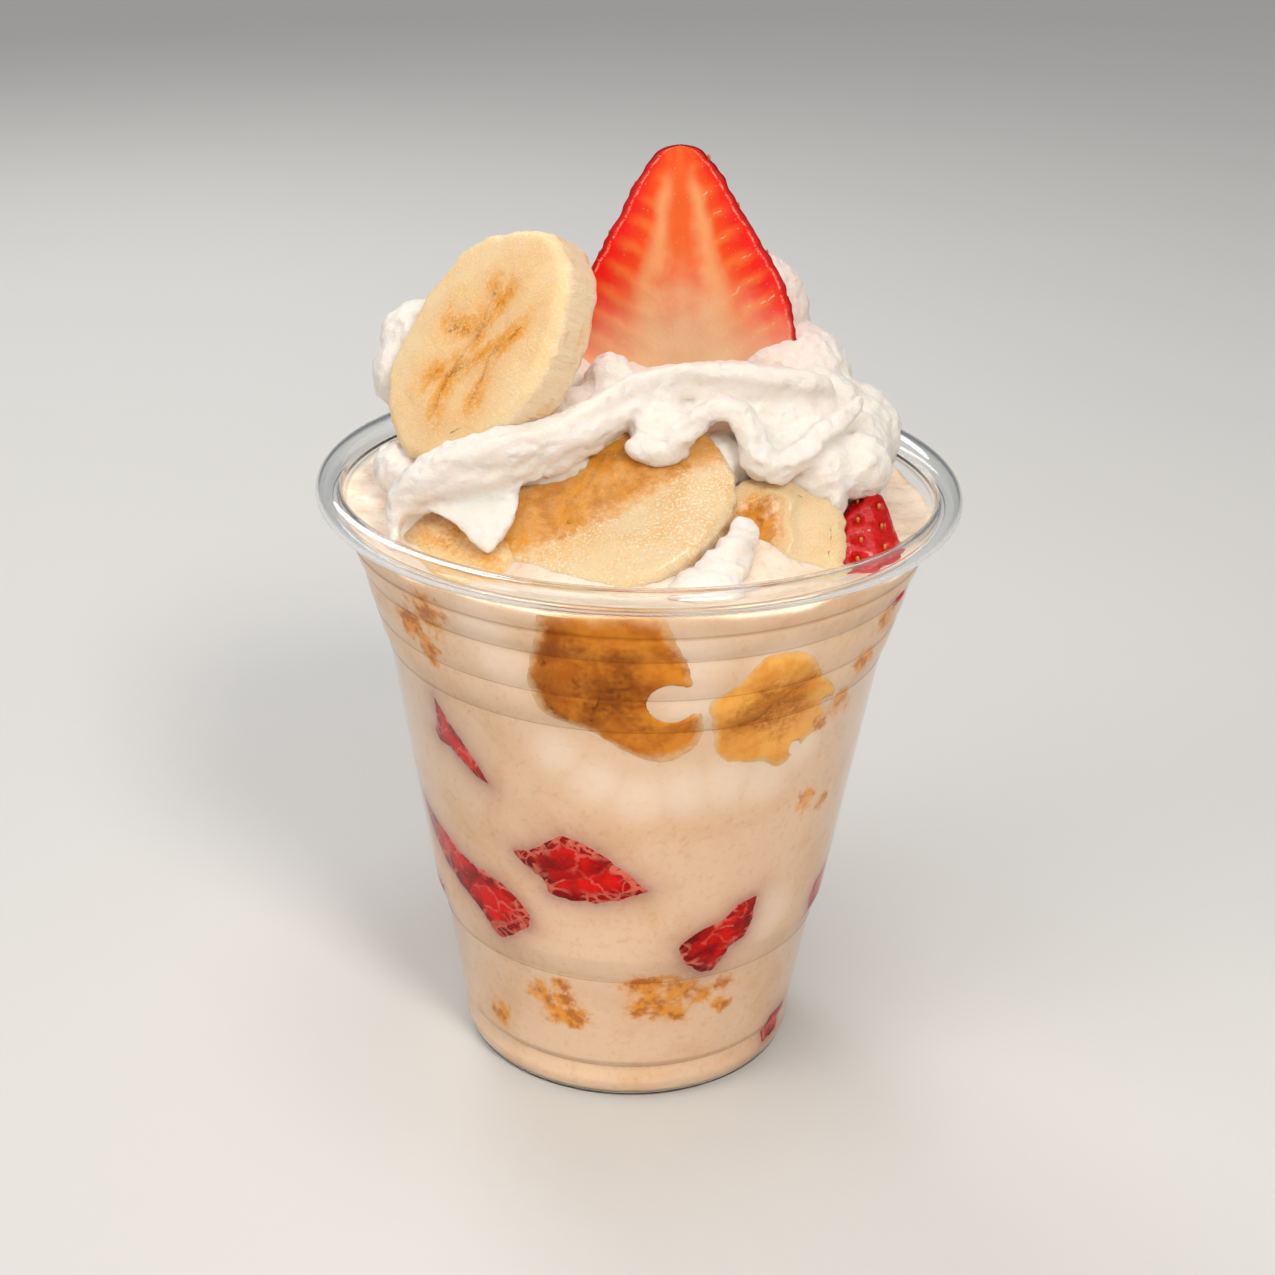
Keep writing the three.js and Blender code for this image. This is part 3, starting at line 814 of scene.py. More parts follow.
# Fruit at the wall: azimuth from the front towards the right, height, and outline
WALL_BERRIES = {
    "strawberry_wall_upper": (-44.3, 63.3, UPPER_BERRY),
    "strawberry_wall_left": (-43.2, 38.5, LEFT_BERRY),
    "strawberry_wall_front": (-12.9, 46.1, FRONT_BERRY),
    "strawberry_wall_right": (24.6, 32.3, RIGHT_BERRY),
    "strawberry_wall_side": (69, 31.6, kite(10, 6, 62)),
    "strawberry_wall_foot": (62, 6.6, kite(8, 6, 48)),
    "strawberry_back_a": (104, 58, kite(15, 8, 25)),
    "strawberry_back_b": (141, 30, kite(19, 9, -38)),
    "strawberry_back_c": (176, 50, kite(16, 6.5, 58)),
    "strawberry_back_d": (214, 23, kite(14, 8, -20)),
    "strawberry_back_e": (246, 56, kite(17, 7, -50)),
    "strawberry_back_f": (282, 27, kite(12, 7, 35)),
}
WALL_BANANAS = {
    "banana_wall_left": (-5.5, 79.2, LEFT_SLICE),
    "banana_wall_right": (29.2, 73.3, RIGHT_SLICE),
    "banana_back_a": (158, 77, oval(26, 23, -15)),
    "banana_back_b": (234, 79, oval(24, 21, 30)),
}
# Where cream lies over a slice: right and up from its middle, and radius
WALL_HOLES = {
    "banana_wall_left": [(9, -2.4, 3.2), (12.5, -1.8, 2.2)],
    "banana_wall_right": [(11.5, -2, 0.9), (10.6, -5, 0.8), (6.4, -8, 0.8)],
    "banana_back_a": [(-9, 4, 3.2)],
    "banana_back_b": [(7, -6, 3.0), (10, -3, 1.5)],
}
OUTLINE_STEPS = 180
PATCH_RINGS = 30
PATCH_EDGE = 1.08  # the share of its outline to which a patch runs on under the cream
PATCH_DIP = 1.2  # how far it dips there
# The rings behind a patch: share of its outline, and depth
PATCH_BACK = [(1.03, 2), (0.5, 4), (0.05, 4)]
HOLE_EDGE = 0.35  # half the width over which a slice's face sinks into a hole
FRUIT_WAVER = 0.3


def outline_of(corners, soften=2):
    """Evenly spaced points round a closed outline with softened corners."""
    closed = np.array([*corners, corners[0]], float)
    length = np.concatenate([[0], np.cumsum(np.linalg.norm(np.diff(closed, axis=0), axis=1))])
    at = np.arange(OUTLINE_STEPS) * length[-1] / OUTLINE_STEPS
    points = np.stack([np.interp(at, length, closed[:, k]) for k in range(2)], -1)
    shifts = range(-soften, soften + 1)
    return sum(np.roll(points, shift, axis=0) for shift in shifts) / len(shifts)


def cream_rise(x, y):
    mound = CREAM_MOUND * np.exp(-((np.hypot(x, y) / CREAM_MOUND_RADIUS) ** 4))
    ripple = 0.5 * np.sin(x / 6 + 1) * np.cos(y / 7)
    dips = [
        depth * np.exp(-(((x - at[0]) / reach[0]) ** 2) - ((y - at[1]) / reach[1]) ** 2)
        for at, depth, reach in CREAM_DIPS
    ]
    return mound + ripple - np.max(dips, axis=0)


FRUIT_TOP = 0.5  # how far fruit at the wall stays under the cream's surface


def on_wall(right, up, azimuth, height, bite):
    """Places on the inside of the wall, right and up from a point, bite into the wall."""
    turn = math.radians(azimuth) + right / inner_radius(height)
    edge = inner_radius(CREAM_LEVEL)
    brim = CREAM_LEVEL + cream_rise(edge * np.sin(turn), -edge * np.cos(turn)) - FRUIT_TOP
    level = np.minimum(height + up, brim)
    radius = inner_radius(level) + bite
    turn = math.radians(azimuth) + np.arcsin(np.clip(right / radius, -1, 1))
    return np.stack([radius * np.sin(turn), -radius * np.cos(turn), level], -1)


def wall_patch(place, seed, soften, holes=()):
    """A piece of fruit behind the wall: a low dome whose edge dips under the cream."""
    azimuth, height, corners = place
    outline = outline_of(corners, soften)
    layer = np.c_[outline, np.full(len(outline), 7.0 * seed)]
    waver = FRUIT_WAVER * (grain(layer, 1.7) + 0.5 * grain(layer, 0.8))
    outline = outline + unit(outline) * waver[:, None]
    back_shares, back_depths = np.array(PATCH_BACK).T
    shares = np.linspace(0.03, PATCH_EDGE, PATCH_RINGS)
    dome = FRUIT_BITE - (FRUIT_BITE - CREAM_BITE) * blend(0.8, 1, shares)
    dome = dome - PATCH_DIP * blend(1, PATCH_EDGE, shares)
    shares, dome = np.append(shares, back_shares), np.append(dome, -back_depths)
    flat = outline[None] * shares[:, None, None]
    right, up = flat[..., 0], flat[..., 1]
    rise = np.broadcast_to(dome[:, None], right.shape).copy()
    for hole_right, hole_up, radius in holes:
        off = np.hypot(right - hole_right, up - hole_up)[:PATCH_RINGS]
        rise[:PATCH_RINGS] -= blend(radius + HOLE_EDGE, radius - HOLE_EDGE, off)
    rings = on_wall(right, up, azimuth, height, rise)
    spread = np.broadcast_to(shares[:, None], right.shape)
    fields = {"spot": np.dstack([flat, spread]), "seed": np.full(right.shape, float(seed))}
    return skin(rings, fields)


def build_wall_fruit():
    berry = wall_berry_finish()
    for seed, (name, place) in enumerate(WALL_BERRIES.items()):
        body = wall_patch(place, seed, 2)
        add_piece(name + "_piece", mesh_of(name, body), berry, name)
    dark = srgb(218, 140, 38), srgb(182, 100, 12), srgb(154, 78, 4), srgb(60, 20, 2)
    light = srgb(242, 178, 86), srgb(226, 148, 48), srgb(190, 114, 24), srgb(104, 50, 10)
    finishes = [
        banana_finish("banana_wall_dark", dark, WALL_STROKES, 0.0, 0.95, 0.55),
        banana_finish("banana_wall_light", light, FOLD_STROKES, 0.0, 0.8),
    ]
    for seed, (name, place) in enumerate(WALL_BANANAS.items()):
        points, faces, fields = wall_patch(place, 20 + seed, 6, WALL_HOLES[name])
        half = np.ptp(np.array(place[2]), axis=0) / 2
        spot = fields["spot"]
        fields["share"] = spot[:, 2]
        fields["amber_and_shade"] = 0.55 * blend(1, 0.2, spot[:, 2])
        fields["spot"] = np.c_[spot[:, :2] / half, np.zeros(len(points))]
        body = points, faces, fields
        finish = finishes[seed % 2]
        add_piece(name + "_slice", mesh_of(name, body), finish, name)


# The cream in the cup

# Mashed banana behind the wall: azimuth, height and reach of each clot
CLOTS = [
    (-28.5, 19.9, 1.3), (-26, 18.7, 1.2), (-23.8, 17.5, 1.2), (-21.2, 16.6, 1.6),
    (-16.6, 16.6, 1.7), (-19.4, 19.4, 1.3), (2.7, 23.4, 1.6), (6.8, 23.6, 1.8), (7.6, 21.6, 1.5),
    (12.3, 23, 1.6), (5.6, 20.2, 1.9), (9.8, 19.5, 1.8), (12.8, 20.6, 1.5), (15.4, 17.6, 1.6),
    (18.6, 22.1, 1.5), (22.6, 21, 1.6), (30, 22, 1.2), (30.4, 18, 1.2), (-46, 11.3, 1.7),
    (-20.5, 22.3, 1), (-52, 82, 2), (-44, 86, 2.4), (-47, 79, 1.6), (48, 54, 1.4), (55, 52, 1),
    (46, 68, 1.2), (53, 70, 1.6), (58, 76, 1.8), (62, 83, 2.2), (68, 79, 1.4),
]
CLOTS_BEHIND = 34
# Blots of paler cream at the wall; the row of them under the bananas is a painted highlight
PALE_BLOTS_AND_HIGHLIGHT = [
    (-30, 87, 3.4), (-27, 81, 3), (-17, 67, 2.8), (-8, 62.5, 3), (2, 60, 3.2), (12, 61, 3.2),
    (22, 62, 3.2), (32, 61, 3.2), (41, 65, 3), (10, 84, 4), (12, 76, 3), (30, 82, 3.4),
    (41, 34, 3.4),
]
CREAM_COLUMNS = 400
CREAM_ROWS = 170
CREAM_TOP_ROWS = 60
CREAM_FLOOR_SHARES = (0.05, 0.5, 0.93)
# Height and size of the lumps on the cream's surface
SURFACE_LUMPS = [(0.7, 9), (0.35, 3.6)]
LUMPS_FADE = 4  # they fade out over this distance from the wall
RAGGED_EDGE = 0.5  # how far the cream's edge at the wall goes up and down
JUICE_REACH = 1.8
BLOT_SPREAD = 1.7
NEAREST_WALL = 20  # the wall is nowhere nearer to the axis than this
BERRY_TURN, BERRY_RISE = 0.8, 22  # no berry at the wall spreads further from its middle


def from_wall_point(points, azimuth, height):
    """How far places are turned from a point of the wall, and how far above it they are."""
    turn = np.arctan2(points[:, 0], -points[:, 1]) - math.radians(azimuth)
    return (turn + math.pi) % TAU - math.pi, points[:, 2] - height


def juice_at(points):
    """How much juice has run into the cream beside each berry at the wall."""
    radius = np.hypot(points[:, 0], points[:, 1])
    juice = np.zeros(len(points))
    for azimuth, height, corners in WALL_BERRIES.values():
        off, above = from_wall_point(points, azimuth, height)
        near = (np.abs(off) < BERRY_TURN) & (np.abs(above) < BERRY_RISE)
        near &= radius > NEAREST_WALL
        place = np.stack([np.sin(off) * radius, above], -1)[near]
        away = np.linalg.norm(place[:, None] - outline_of(corners)[None, ::3], axis=2)
        juice[near] = np.maximum(juice[near], np.exp(-away.min(axis=1) / JUICE_REACH))
    return juice


def blots_at(points, blots):
    """How near a place is to a blot at the wall, from 0 to 1."""
    radius = np.hypot(points[:, 0], points[:, 1])
    result = np.zeros(len(points))
    for azimuth, height, reach in blots:
        off, above = from_wall_point(points, azimuth, height)
        away = np.hypot(off * radius, above) / (BLOT_SPREAD * reach)
        result = np.maximum(result, np.exp(-(away**2)))
    return result * (radius > NEAREST_WALL)


def clots_at(points):
    """How near a place is to a clot of banana, with more of them drawn behind."""
    chance = np.random.default_rng(7)
    behind = chance.uniform((95, 10, 1), (300, 86, 2.2), (CLOTS_BEHIND, 3))
    return blots_at(points, [*CLOTS, *behind])


def cream_rings():
    """Rings over the cream's floor, up the wall, and over the surface to its middle."""
    turn = around(CREAM_COLUMNS)
    sine, cosine = np.sin(turn), -np.cos(turn)
    edge_radius = inner_radius(CREAM_LEVEL) + CREAM_BITE
    circle = np.stack([12 * sine, 12 * cosine, 0 * sine], -1)
    ragged = RAGGED_EDGE * grain(circle, 1.4)
    edge = CREAM_LEVEL + cream_rise(edge_radius * sine, edge_radius * cosine) + ragged
    base = FLOOR_LIFT + WALL - CREAM_BITE
    level = base + (edge - base) * np.linspace(0, 1, CREAM_ROWS)[:, None]
    radius = inner_radius(level) + CREAM_BITE
    floor_radius = np.array(CREAM_FLOOR_SHARES)[:, None] * (FOOT_RADIUS - 2 * WALL)
    inward = np.linspace(1, 0.01, CREAM_TOP_ROWS + 1)[1:, None] * radius[-1]
    x, y = inward * sine, inward * cosine
    flat = np.stack([x.ravel(), y.ravel(), np.zeros(x.size)], -1)
    lumps = sum(high * grain(flat, size) for high, size in SURFACE_LUMPS).reshape(x.shape)
    away = blend(0, LUMPS_FADE, radius[-1] - inward)
    surface = CREAM_LEVEL + cream_rise(x, y) + away * lumps + (1 - away) * ragged
    parts = (floor_radius, base), (radius, level), (inward, surface)
    return np.concatenate([
        np.stack(np.broadcast_arrays(wide * sine, wide * cosine, height), -1)
        for wide, height in parts
    ])


def build_cream():
    rings = cream_rings()
    points = rings.reshape(-1, 3)
    shape = rings.shape[:2]
    closed_rows = len(rings) - CREAM_TOP_ROWS
    open_top = np.concatenate([np.zeros(closed_rows), np.ones(CREAM_TOP_ROWS)])
    open_top[closed_rows - 2 : closed_rows] = 0.5
    behind_wall = 1 - open_top[:, None]
    fields = {
        "juice": juice_at(points).reshape(shape) * behind_wall,
        "clots": clots_at(points).reshape(shape) * behind_wall,
        "pale": blots_at(points, PALE_BLOTS_AND_HIGHLIGHT).reshape(shape),
        "open_top": np.broadcast_to(open_top[:, None], shape),
    }
    mesh = mesh_of("cream_body", skin(rings, fields))
    add_piece("cream_body", mesh, cream_finish(), "cream")


# Banana slices on top

# Centre of the face, the way it looks, its turn, half its size and its thickness
BANANAS = {
    "banana_slice_upright": ((-24.8, -8.2, 118.8), (-0.64, -0.61, 0.47), 1.12, (19.4, 14.6), 8),
    "banana_slice_front": ((-4.4, -19.5, 101.2), (-0.12, -0.58, 0.81), 0.3, (17.8, 16.6), 8),
    "banana_slice_right": ((19.6, -23.5, 95), (0.2, -0.7, 0.68), 0.5, (12, 10.4), 8),
    "banana_slice_low": ((-26, -23, 93.6), (-0.3, -0.5, 0.82), 0, (9.6, 8), 5),
}
SLICE_BEVEL = 1.9
SIDE_EDGE = 0.4  # the strings of a slice's side end this far from its faces
SLICE_COLUMNS = 160
SLICE_FACE_RINGS = 44
SLICE_SIDE_RINGS = 12
SLICE_BACK_RINGS = 16
SLICE_BEVEL_STEPS = 8


def facing(look, turn):
    """The columns of a frame that looks one way and is turned about it, as in the solids."""
    ahead = Vector(look).normalized()
    right = Vector((0, 0, 1)).cross(ahead).normalized()
    return np.array([right, ahead.cross(right), ahead]).T @ np.array(Matrix.Rotation(turn, 3, "Z"))


def slice_profile(thickness):
    """Ring by ring, from the face over the side to the back: share, bevel out, depth."""
    bends = np.linspace(0, math.pi / 2, SLICE_BEVEL_STEPS + 1)[1:]
    out, down = SLICE_BEVEL * np.sin(bends), SLICE_BEVEL * np.cos(bends)
    deep = thickness - SLICE_BEVEL
    parts = [
        (np.linspace(0.02, 1, SLICE_FACE_RINGS), 0, 0),
        (1, out, down - SLICE_BEVEL),
        (1, SLICE_BEVEL, -np.linspace(SLICE_BEVEL, deep, SLICE_SIDE_RINGS)[1:]),
        (1, down, -deep - out),
        (np.linspace(1, 0.05, SLICE_BACK_RINGS)[1:], 0, -thickness),
    ]
    return np.concatenate([np.stack(np.broadcast_arrays(*part), -1) for part in parts])


def slice_rings(half, thickness, seed):
    """Rings over a slice whose face lies level, with five soft ridges and a wavering edge."""
    turn = around(SLICE_COLUMNS)
    ridge = 1 + 0.022 * np.cos(5 * turn + 0.6)
    circle = np.stack([np.cos(turn), np.sin(turn)], -1)
    layer = np.c_[circle * 9, np.full(SLICE_COLUMNS, seed)]
    waver = 0.5 * grain(layer, 2.2) + 0.26 * grain(layer, 0.8)
    outline = circle * (np.array(half) - SLICE_BEVEL) * ridge[:, None]
    outward = unit(circle / np.array(half))
    share, bevel, depth = (part[:, None] for part in slice_profile(thickness).T)
    flat = outline * share[..., None] + outward * bevel[..., None]
    flat = flat + outward * (waver * (share > 0.9))[..., None]
    return np.dstack([flat, np.broadcast_to(depth, flat.shape[:2])])


def slice_relief(points, spot, amber_and_shade, sunk, seed):
    """How far a slice's points are pushed: the strings of its side, and its uneven face."""
    reach = np.hypot(spot[:, 0], spot[:, 1])
    hollow = -0.35 * np.exp(-((reach / 0.3) ** 2)) + 0.2 * np.exp(-(((reach - 0.6) / 0.15) ** 2))
    # A sunk part has a low lip on its right
    lip = blend(0.02, 0.14, amber_and_shade) * blend(0.4, 0.2, amber_and_shade) * blend(-0.1, 0.3, spot[:, 0])
    on_face = points[:, 2] > -SLICE_BEVEL / 2
    lift = 0.16 * grain(points, 4.5, seed) + 0.07 * grain(points, 1.6, seed)
    lift = lift + np.where(on_face, hollow - sunk * (blend(0.1, 1, amber_and_shade) - lip), 0)
    back = points[:, 2].min()
    side = (points[:, 2] < -SIDE_EDGE) & (points[:, 2] > back + SIDE_EDGE)
    strings = grain(np.c_[points[:, :2] / 1.3, points[:, 2] / 7], 1.0, seed)
    swell = (0.3 * strings + 0.16 * grain(points, 1.3, seed)) * side
    out = points[:, :2] / np.maximum(np.hypot(*points[:, :2].T), 1e-6)[:, None]
    return np.c_[out * swell[:, None], lift]


def banana_body(size, seed, amber_and_shade_at, sunk):
    centre, look, turn, half, thickness = size
    rings = slice_rings(half, thickness, seed)
    shape = rings.shape[:2]
    points = rings.reshape(-1, 3)
    spot = np.c_[points[:, :2] / np.array(half), points[:, 2]]
    amber_and_shade = amber_and_shade_at(spot[:, 0], spot[:, 1])
    points = points + slice_relief(points, spot, amber_and_shade, sunk, seed)
    world = points @ facing(look, turn).T + np.array(centre)
    fields = {
        "spot": spot.reshape(*shape, 3),
        "seed": np.full(shape, float(seed)),
        "amber_and_shade": amber_and_shade.reshape(shape),
        "share": np.zeros(shape),
    }
    return skin(world.reshape(*shape, 3), fields)


def amber_and_shade_above(lean, level):
    """Amber above a slanting line across the face."""
    return lambda x, y: blend(-0.25, 0.35, y - lean * x - level)


def amber_and_shade_round(x0, y0, reach):
    """Amber round a place on the face, in an uneven patch."""

    def amber_and_shade_at(x, y):
        turn = np.arctan2(y - y0, x - x0)
        uneven = 1 + 0.16 * np.sin(3 * turn + 0.8) + 0.1 * np.sin(5 * turn)
        return 1.2 * np.exp(-((np.hypot(x - x0, y - y0) / reach / uneven) ** 2))

    return amber_and_shade_at


def amber_and_shade_evenly(level):
    """The same amber all over the face."""
    return lambda x, y: level + 0 * x


# Each slice's strokes, how wet it is and how much painted sparkle it shows, how murky it is,
# where it is amber, partly as painted shade, and how deep that part lies
SLICE_LOOKS = {
    "banana_slice_upright": (HEART_STROKES, 0.3, 0.4, amber_and_shade_above(0, 2), 0),
    # On the front slice the amber above the line is partly painted shadow of the whipped cream over
    # it
    "banana_slice_front": (FRONT_STROKES, 0.9, 0.9, amber_and_shade_above(0.42, -0.3), 0),
    # On the right slice the amber in the sunk hollow is partly painted shade
    "banana_slice_right": (FOLDED_STROKES, 0.6, 0.5, amber_and_shade_round(-0.1, 0.32, 0.36), 0.55),
    # The low slice is amber all over, partly as painted shade
    "banana_slice_low": (FOLDED_STROKES, 0.4, 0.6, amber_and_shade_evenly(0.46), 0),
}


def build_bananas():
    tones = srgb(255, 220, 172), srgb(255, 200, 128), srgb(240, 158, 4), srgb(146, 74, 14)
    for seed, (name, size) in enumerate(BANANAS.items()):
        strokes, wet_and_sparkle, murk, amber_and_shade_at, sunk = SLICE_LOOKS[name]
        flesh = banana_finish(name.replace("slice", "flesh"), tones, strokes, wet_and_sparkle, murk)
        mesh = mesh_of(name, banana_body(size, 3 + 5 * seed, amber_and_shade_at, sunk))
        add_piece(name + "_cut", mesh, flesh, name)


# Strawberries on top

# Distance below the tip and radius, as shares of the berry's length and widest radius
BERRY_PROFILE = [
    (0, 0), (0.02, 0.17), (0.09, 0.33), (0.2, 0.48), (0.35, 0.7), (0.5, 0.9), (0.66, 0.99),
    (0.82, 0.99), (0.93, 0.8), (0.985, 0.42), (1, 0),
]
BERRY_ROWS = 130
FACE_COLUMNS = 84
SKIN_COLUMNS = 84
SEED_SPACING = 3.5
EDGE_WAVER = 0.4
SEEDLESS = 0.08  # the angle from the half's cut face that has no seeds
PIP_SIDES = 8
PIP_RINGS = 6
PIP_END = 0.92  # the share of its half length at which a pip is capped


def berry_rows():
    """Distance below the tip and radius for each row of a berry, as shares."""
    return curve(BERRY_PROFILE, BERRY_ROWS + 2)[1:-1]


def seed_sites(size, start, end, crowding=1):
    """Places of the seeds on the skin between two angles, in rows staggered one by one."""
    length, radius, depth = size
    rows = berry_rows()
    sites = []
    count = int(crowding * length / SEED_SPACING)
    for number in range(count):
        below = (number + 0.7) / count
        wide = np.interp(below, rows[:, 0], rows[:, 1]) * (radius + depth) / 2
        across = max(1, int(abs(end - start) * wide / SEED_SPACING))
        for place in range(across):
            turn = start + (end - start) * (place + 0.25 + 0.5 * (number % 2)) / across
            sites.append(berry_points(below, turn, size))
    return np.array(sites)


def berry_points(below, turn, size):
    """Places on a berry's skin, some share of the way down and at an angle round it."""
    length, radius, depth = size
    rows = berry_rows()
    wide = np.interp(below, rows[:, 0], rows[:, 1])
    x, y = wide * radius * np.cos(turn), wide * depth * np.sin(turn)
    return np.stack([x, y, -below * length], -1)


def dimpled(points, normals, sites, depth=0.45, reach=1.25):
    """Points of the skin with a dimple round each seed."""
    nearest = np.full(len(points), 1e9)
    for site in sites:
        nearest = np.minimum(nearest, np.linalg.norm(points - site, axis=1))
    return points - normals * (depth * np.exp(-((nearest / reach) ** 2)))[:, None]


def seed_bodies(sites, aheads, length, width, height):
    """A small pointed pip at each site, lying along the berry."""
    plumb = Vector((0, 0, -1))
    share = np.linspace(-PIP_END, PIP_END, PIP_RINGS)[:, None, None]
    wide = np.sqrt(1 - share**2) * (1 - 0.25 * share)
    turn = around(PIP_SIDES)[:, None]
    bodies = []
    for site, ahead in zip(sites, aheads):
        ahead = Vector(ahead).normalized()
        down = (plumb - ahead * ahead.dot(plumb)).normalized()
        side = ahead.cross(down)
        rings = site + np.array(down) * share * length / 2
        rings = rings + np.array(side) * wide * width / 2 * np.cos(turn)
        bodies.append(skin(rings + np.array(ahead) * wide * height / 2 * np.sin(turn)))
    return bodies


# Each strawberry's length, radius and depth, its tip, and its turns about X and about -Y
HALF_SIZE, HALF_TIP, HALF_LEAN = (44, 17.1, 14), (4.6, 3, 145.9), (0.06, 0.05)
CHUNK_SIZE, CHUNK_TIP, CHUNK_LEAN = (17, 7.8, 6.6), (34.6, -11, 98.4), (-0.4, -0.25)
CHUNK_CROWDING = 1.3  # how much closer together the chunk's rows of seeds lie
CHUNK_COLUMNS = 120


def placed(points, tip, lean):
    """Points of a strawberry, given from its tip, where they lie in the part."""
    return spin(spin(points, "X", lean[0]), "Y", -lean[1]) + np.array(tip)


def outward_of(points, size):
    """Roughly the way the skin looks, from the oval across it."""
    _, radius, depth = size
    normals = np.c_[points[:, 0] / radius**2, points[:, 1] / depth**2, 0 * points[:, 0]]
    return normals / np.maximum(np.linalg.norm(normals, axis=1), 1e-9)[:, None]


def add_pips(name, sites, size, tip, lean, finish, sink, measures=(1.5, 0.85, 0.5)):
    """The seeds of a strawberry, each sunk a little into its dimple."""
    ways = outward_of(sites, size)
    pips = joined(seed_bodies(placed(sites - sink * ways, tip, lean), ways, *measures))
    add_piece(name, mesh_of(name, pips), finish)


def wavering(below, wide, offset):
    """How wide one side of the half is at each row, with an uneven edge."""
    uneven = grain(np.c_[below, below * 0 + offset, below * 0], 1.5)[:, None]
    return wide + EDGE_WAVER * uneven * blend(0.5, 4, wide)


def half_face(below, right, left):
    """Places on the cut face of the half, from its right edge to its left."""
    column = np.linspace(1, -1, FACE_COLUMNS)
    x = np.where(column > 0, right * column, left * column)
    face = np.stack(np.broadcast_arrays(x, 0.5 * np.abs(column) ** 14, -below), -1)
    uneven = 0.14 * grain(face.reshape(-1, 3), 3.0).reshape(x.shape)
    face[..., 1] += uneven * (1 - np.abs(column) ** 6)
    return face


def half_back(below, wide, right, left, sites):
    """Places on the skin behind the half, from its left edge to its right."""
    _, radius, depth = HALF_SIZE
    turn = np.linspace(math.pi, 0, SKIN_COLUMNS + 2)[1:-1]
    x = np.where(np.cos(turn) > 0, right, left) * np.cos(turn)
    y = wide * depth / radius * np.sin(turn)
    points = np.stack(np.broadcast_arrays(x, y, -below), -1).reshape(-1, 3)
    return dimpled(points, outward_of(points, HALF_SIZE), sites).reshape(*x.shape, 3)


def build_strawberry_half(finish, seeds):
    length, radius, _ = HALF_SIZE
    rows = berry_rows()
    below, wide = rows[:, :1] * length, rows[:, 1:] * radius
    right, left = (wavering(below, wide, offset) for offset in (0, 7))
    sites = seed_sites(HALF_SIZE, SEEDLESS, math.pi - SEEDLESS)
    back = half_back(below, wide, right, left, sites)
    local = np.concatenate([half_face(below, right, left), back], axis=1)
    shape = local.shape[:2]
    spread = np.broadcast_to(0.5 * (right + left), shape)
    cut = np.concatenate([np.ones(FACE_COLUMNS), np.zeros(SKIN_COLUMNS)])
    cut[[0, FACE_COLUMNS - 1]] = 0.5
    fields = {
        "spot": np.dstack([local[..., 0], -local[..., 2], spread]),
        "cut": np.broadcast_to(cut, shape),
        "share": np.broadcast_to(rows[:, :1], shape),
    }
    world = placed(local.reshape(-1, 3), HALF_TIP, HALF_LEAN).reshape(local.shape)
    mesh = mesh_of("strawberry_half_cut", skin(world, fields))
    add_piece("strawberry_half_cut", mesh, finish, "strawberry_half")
    add_pips("strawberry_half_seeds", sites, HALF_SIZE, HALF_TIP, HALF_LEAN, seeds, 0.22)


def build_strawberry_chunk(finish, seeds):
    rows = berry_rows()
    turn = around(CHUNK_COLUMNS)
    below = rows[:, 0][:, None] * np.ones_like(turn)
    local = berry_points(below, turn, CHUNK_SIZE)
    sites = seed_sites(CHUNK_SIZE, 0, TAU, CHUNK_CROWDING)
    shape = local.shape[:2]
    flat = local.reshape(-1, 3)
    ways = outward_of(flat, CHUNK_SIZE)
    flat = dimpled(flat, ways, sites, 0.9, 1.0)
    rough = 0.45 * grain(flat, 3.4, 2) + 0.2 * grain(flat, 1.3, 5)
    flat = flat + ways * rough[:, None]
    fields = {
        "spot": np.dstack([local[..., 0], -local[..., 2], np.full(shape, CHUNK_SIZE[1])]),
        "cut": np.zeros(shape),
        "share": below * 0.8,
    }
    world = placed(flat, CHUNK_TIP, CHUNK_LEAN).reshape(local.shape)
    mesh = mesh_of("strawberry_chunk_skin", skin(world, fields))
    add_piece("strawberry_chunk_skin", mesh, finish, "strawberry_chunk")
    where = CHUNK_SIZE, CHUNK_TIP, CHUNK_LEAN
    add_pips("strawberry_chunk_seeds", sites, *where, seeds, 0.55, (1.05, 0.6, 0.4))


# Whipped cream

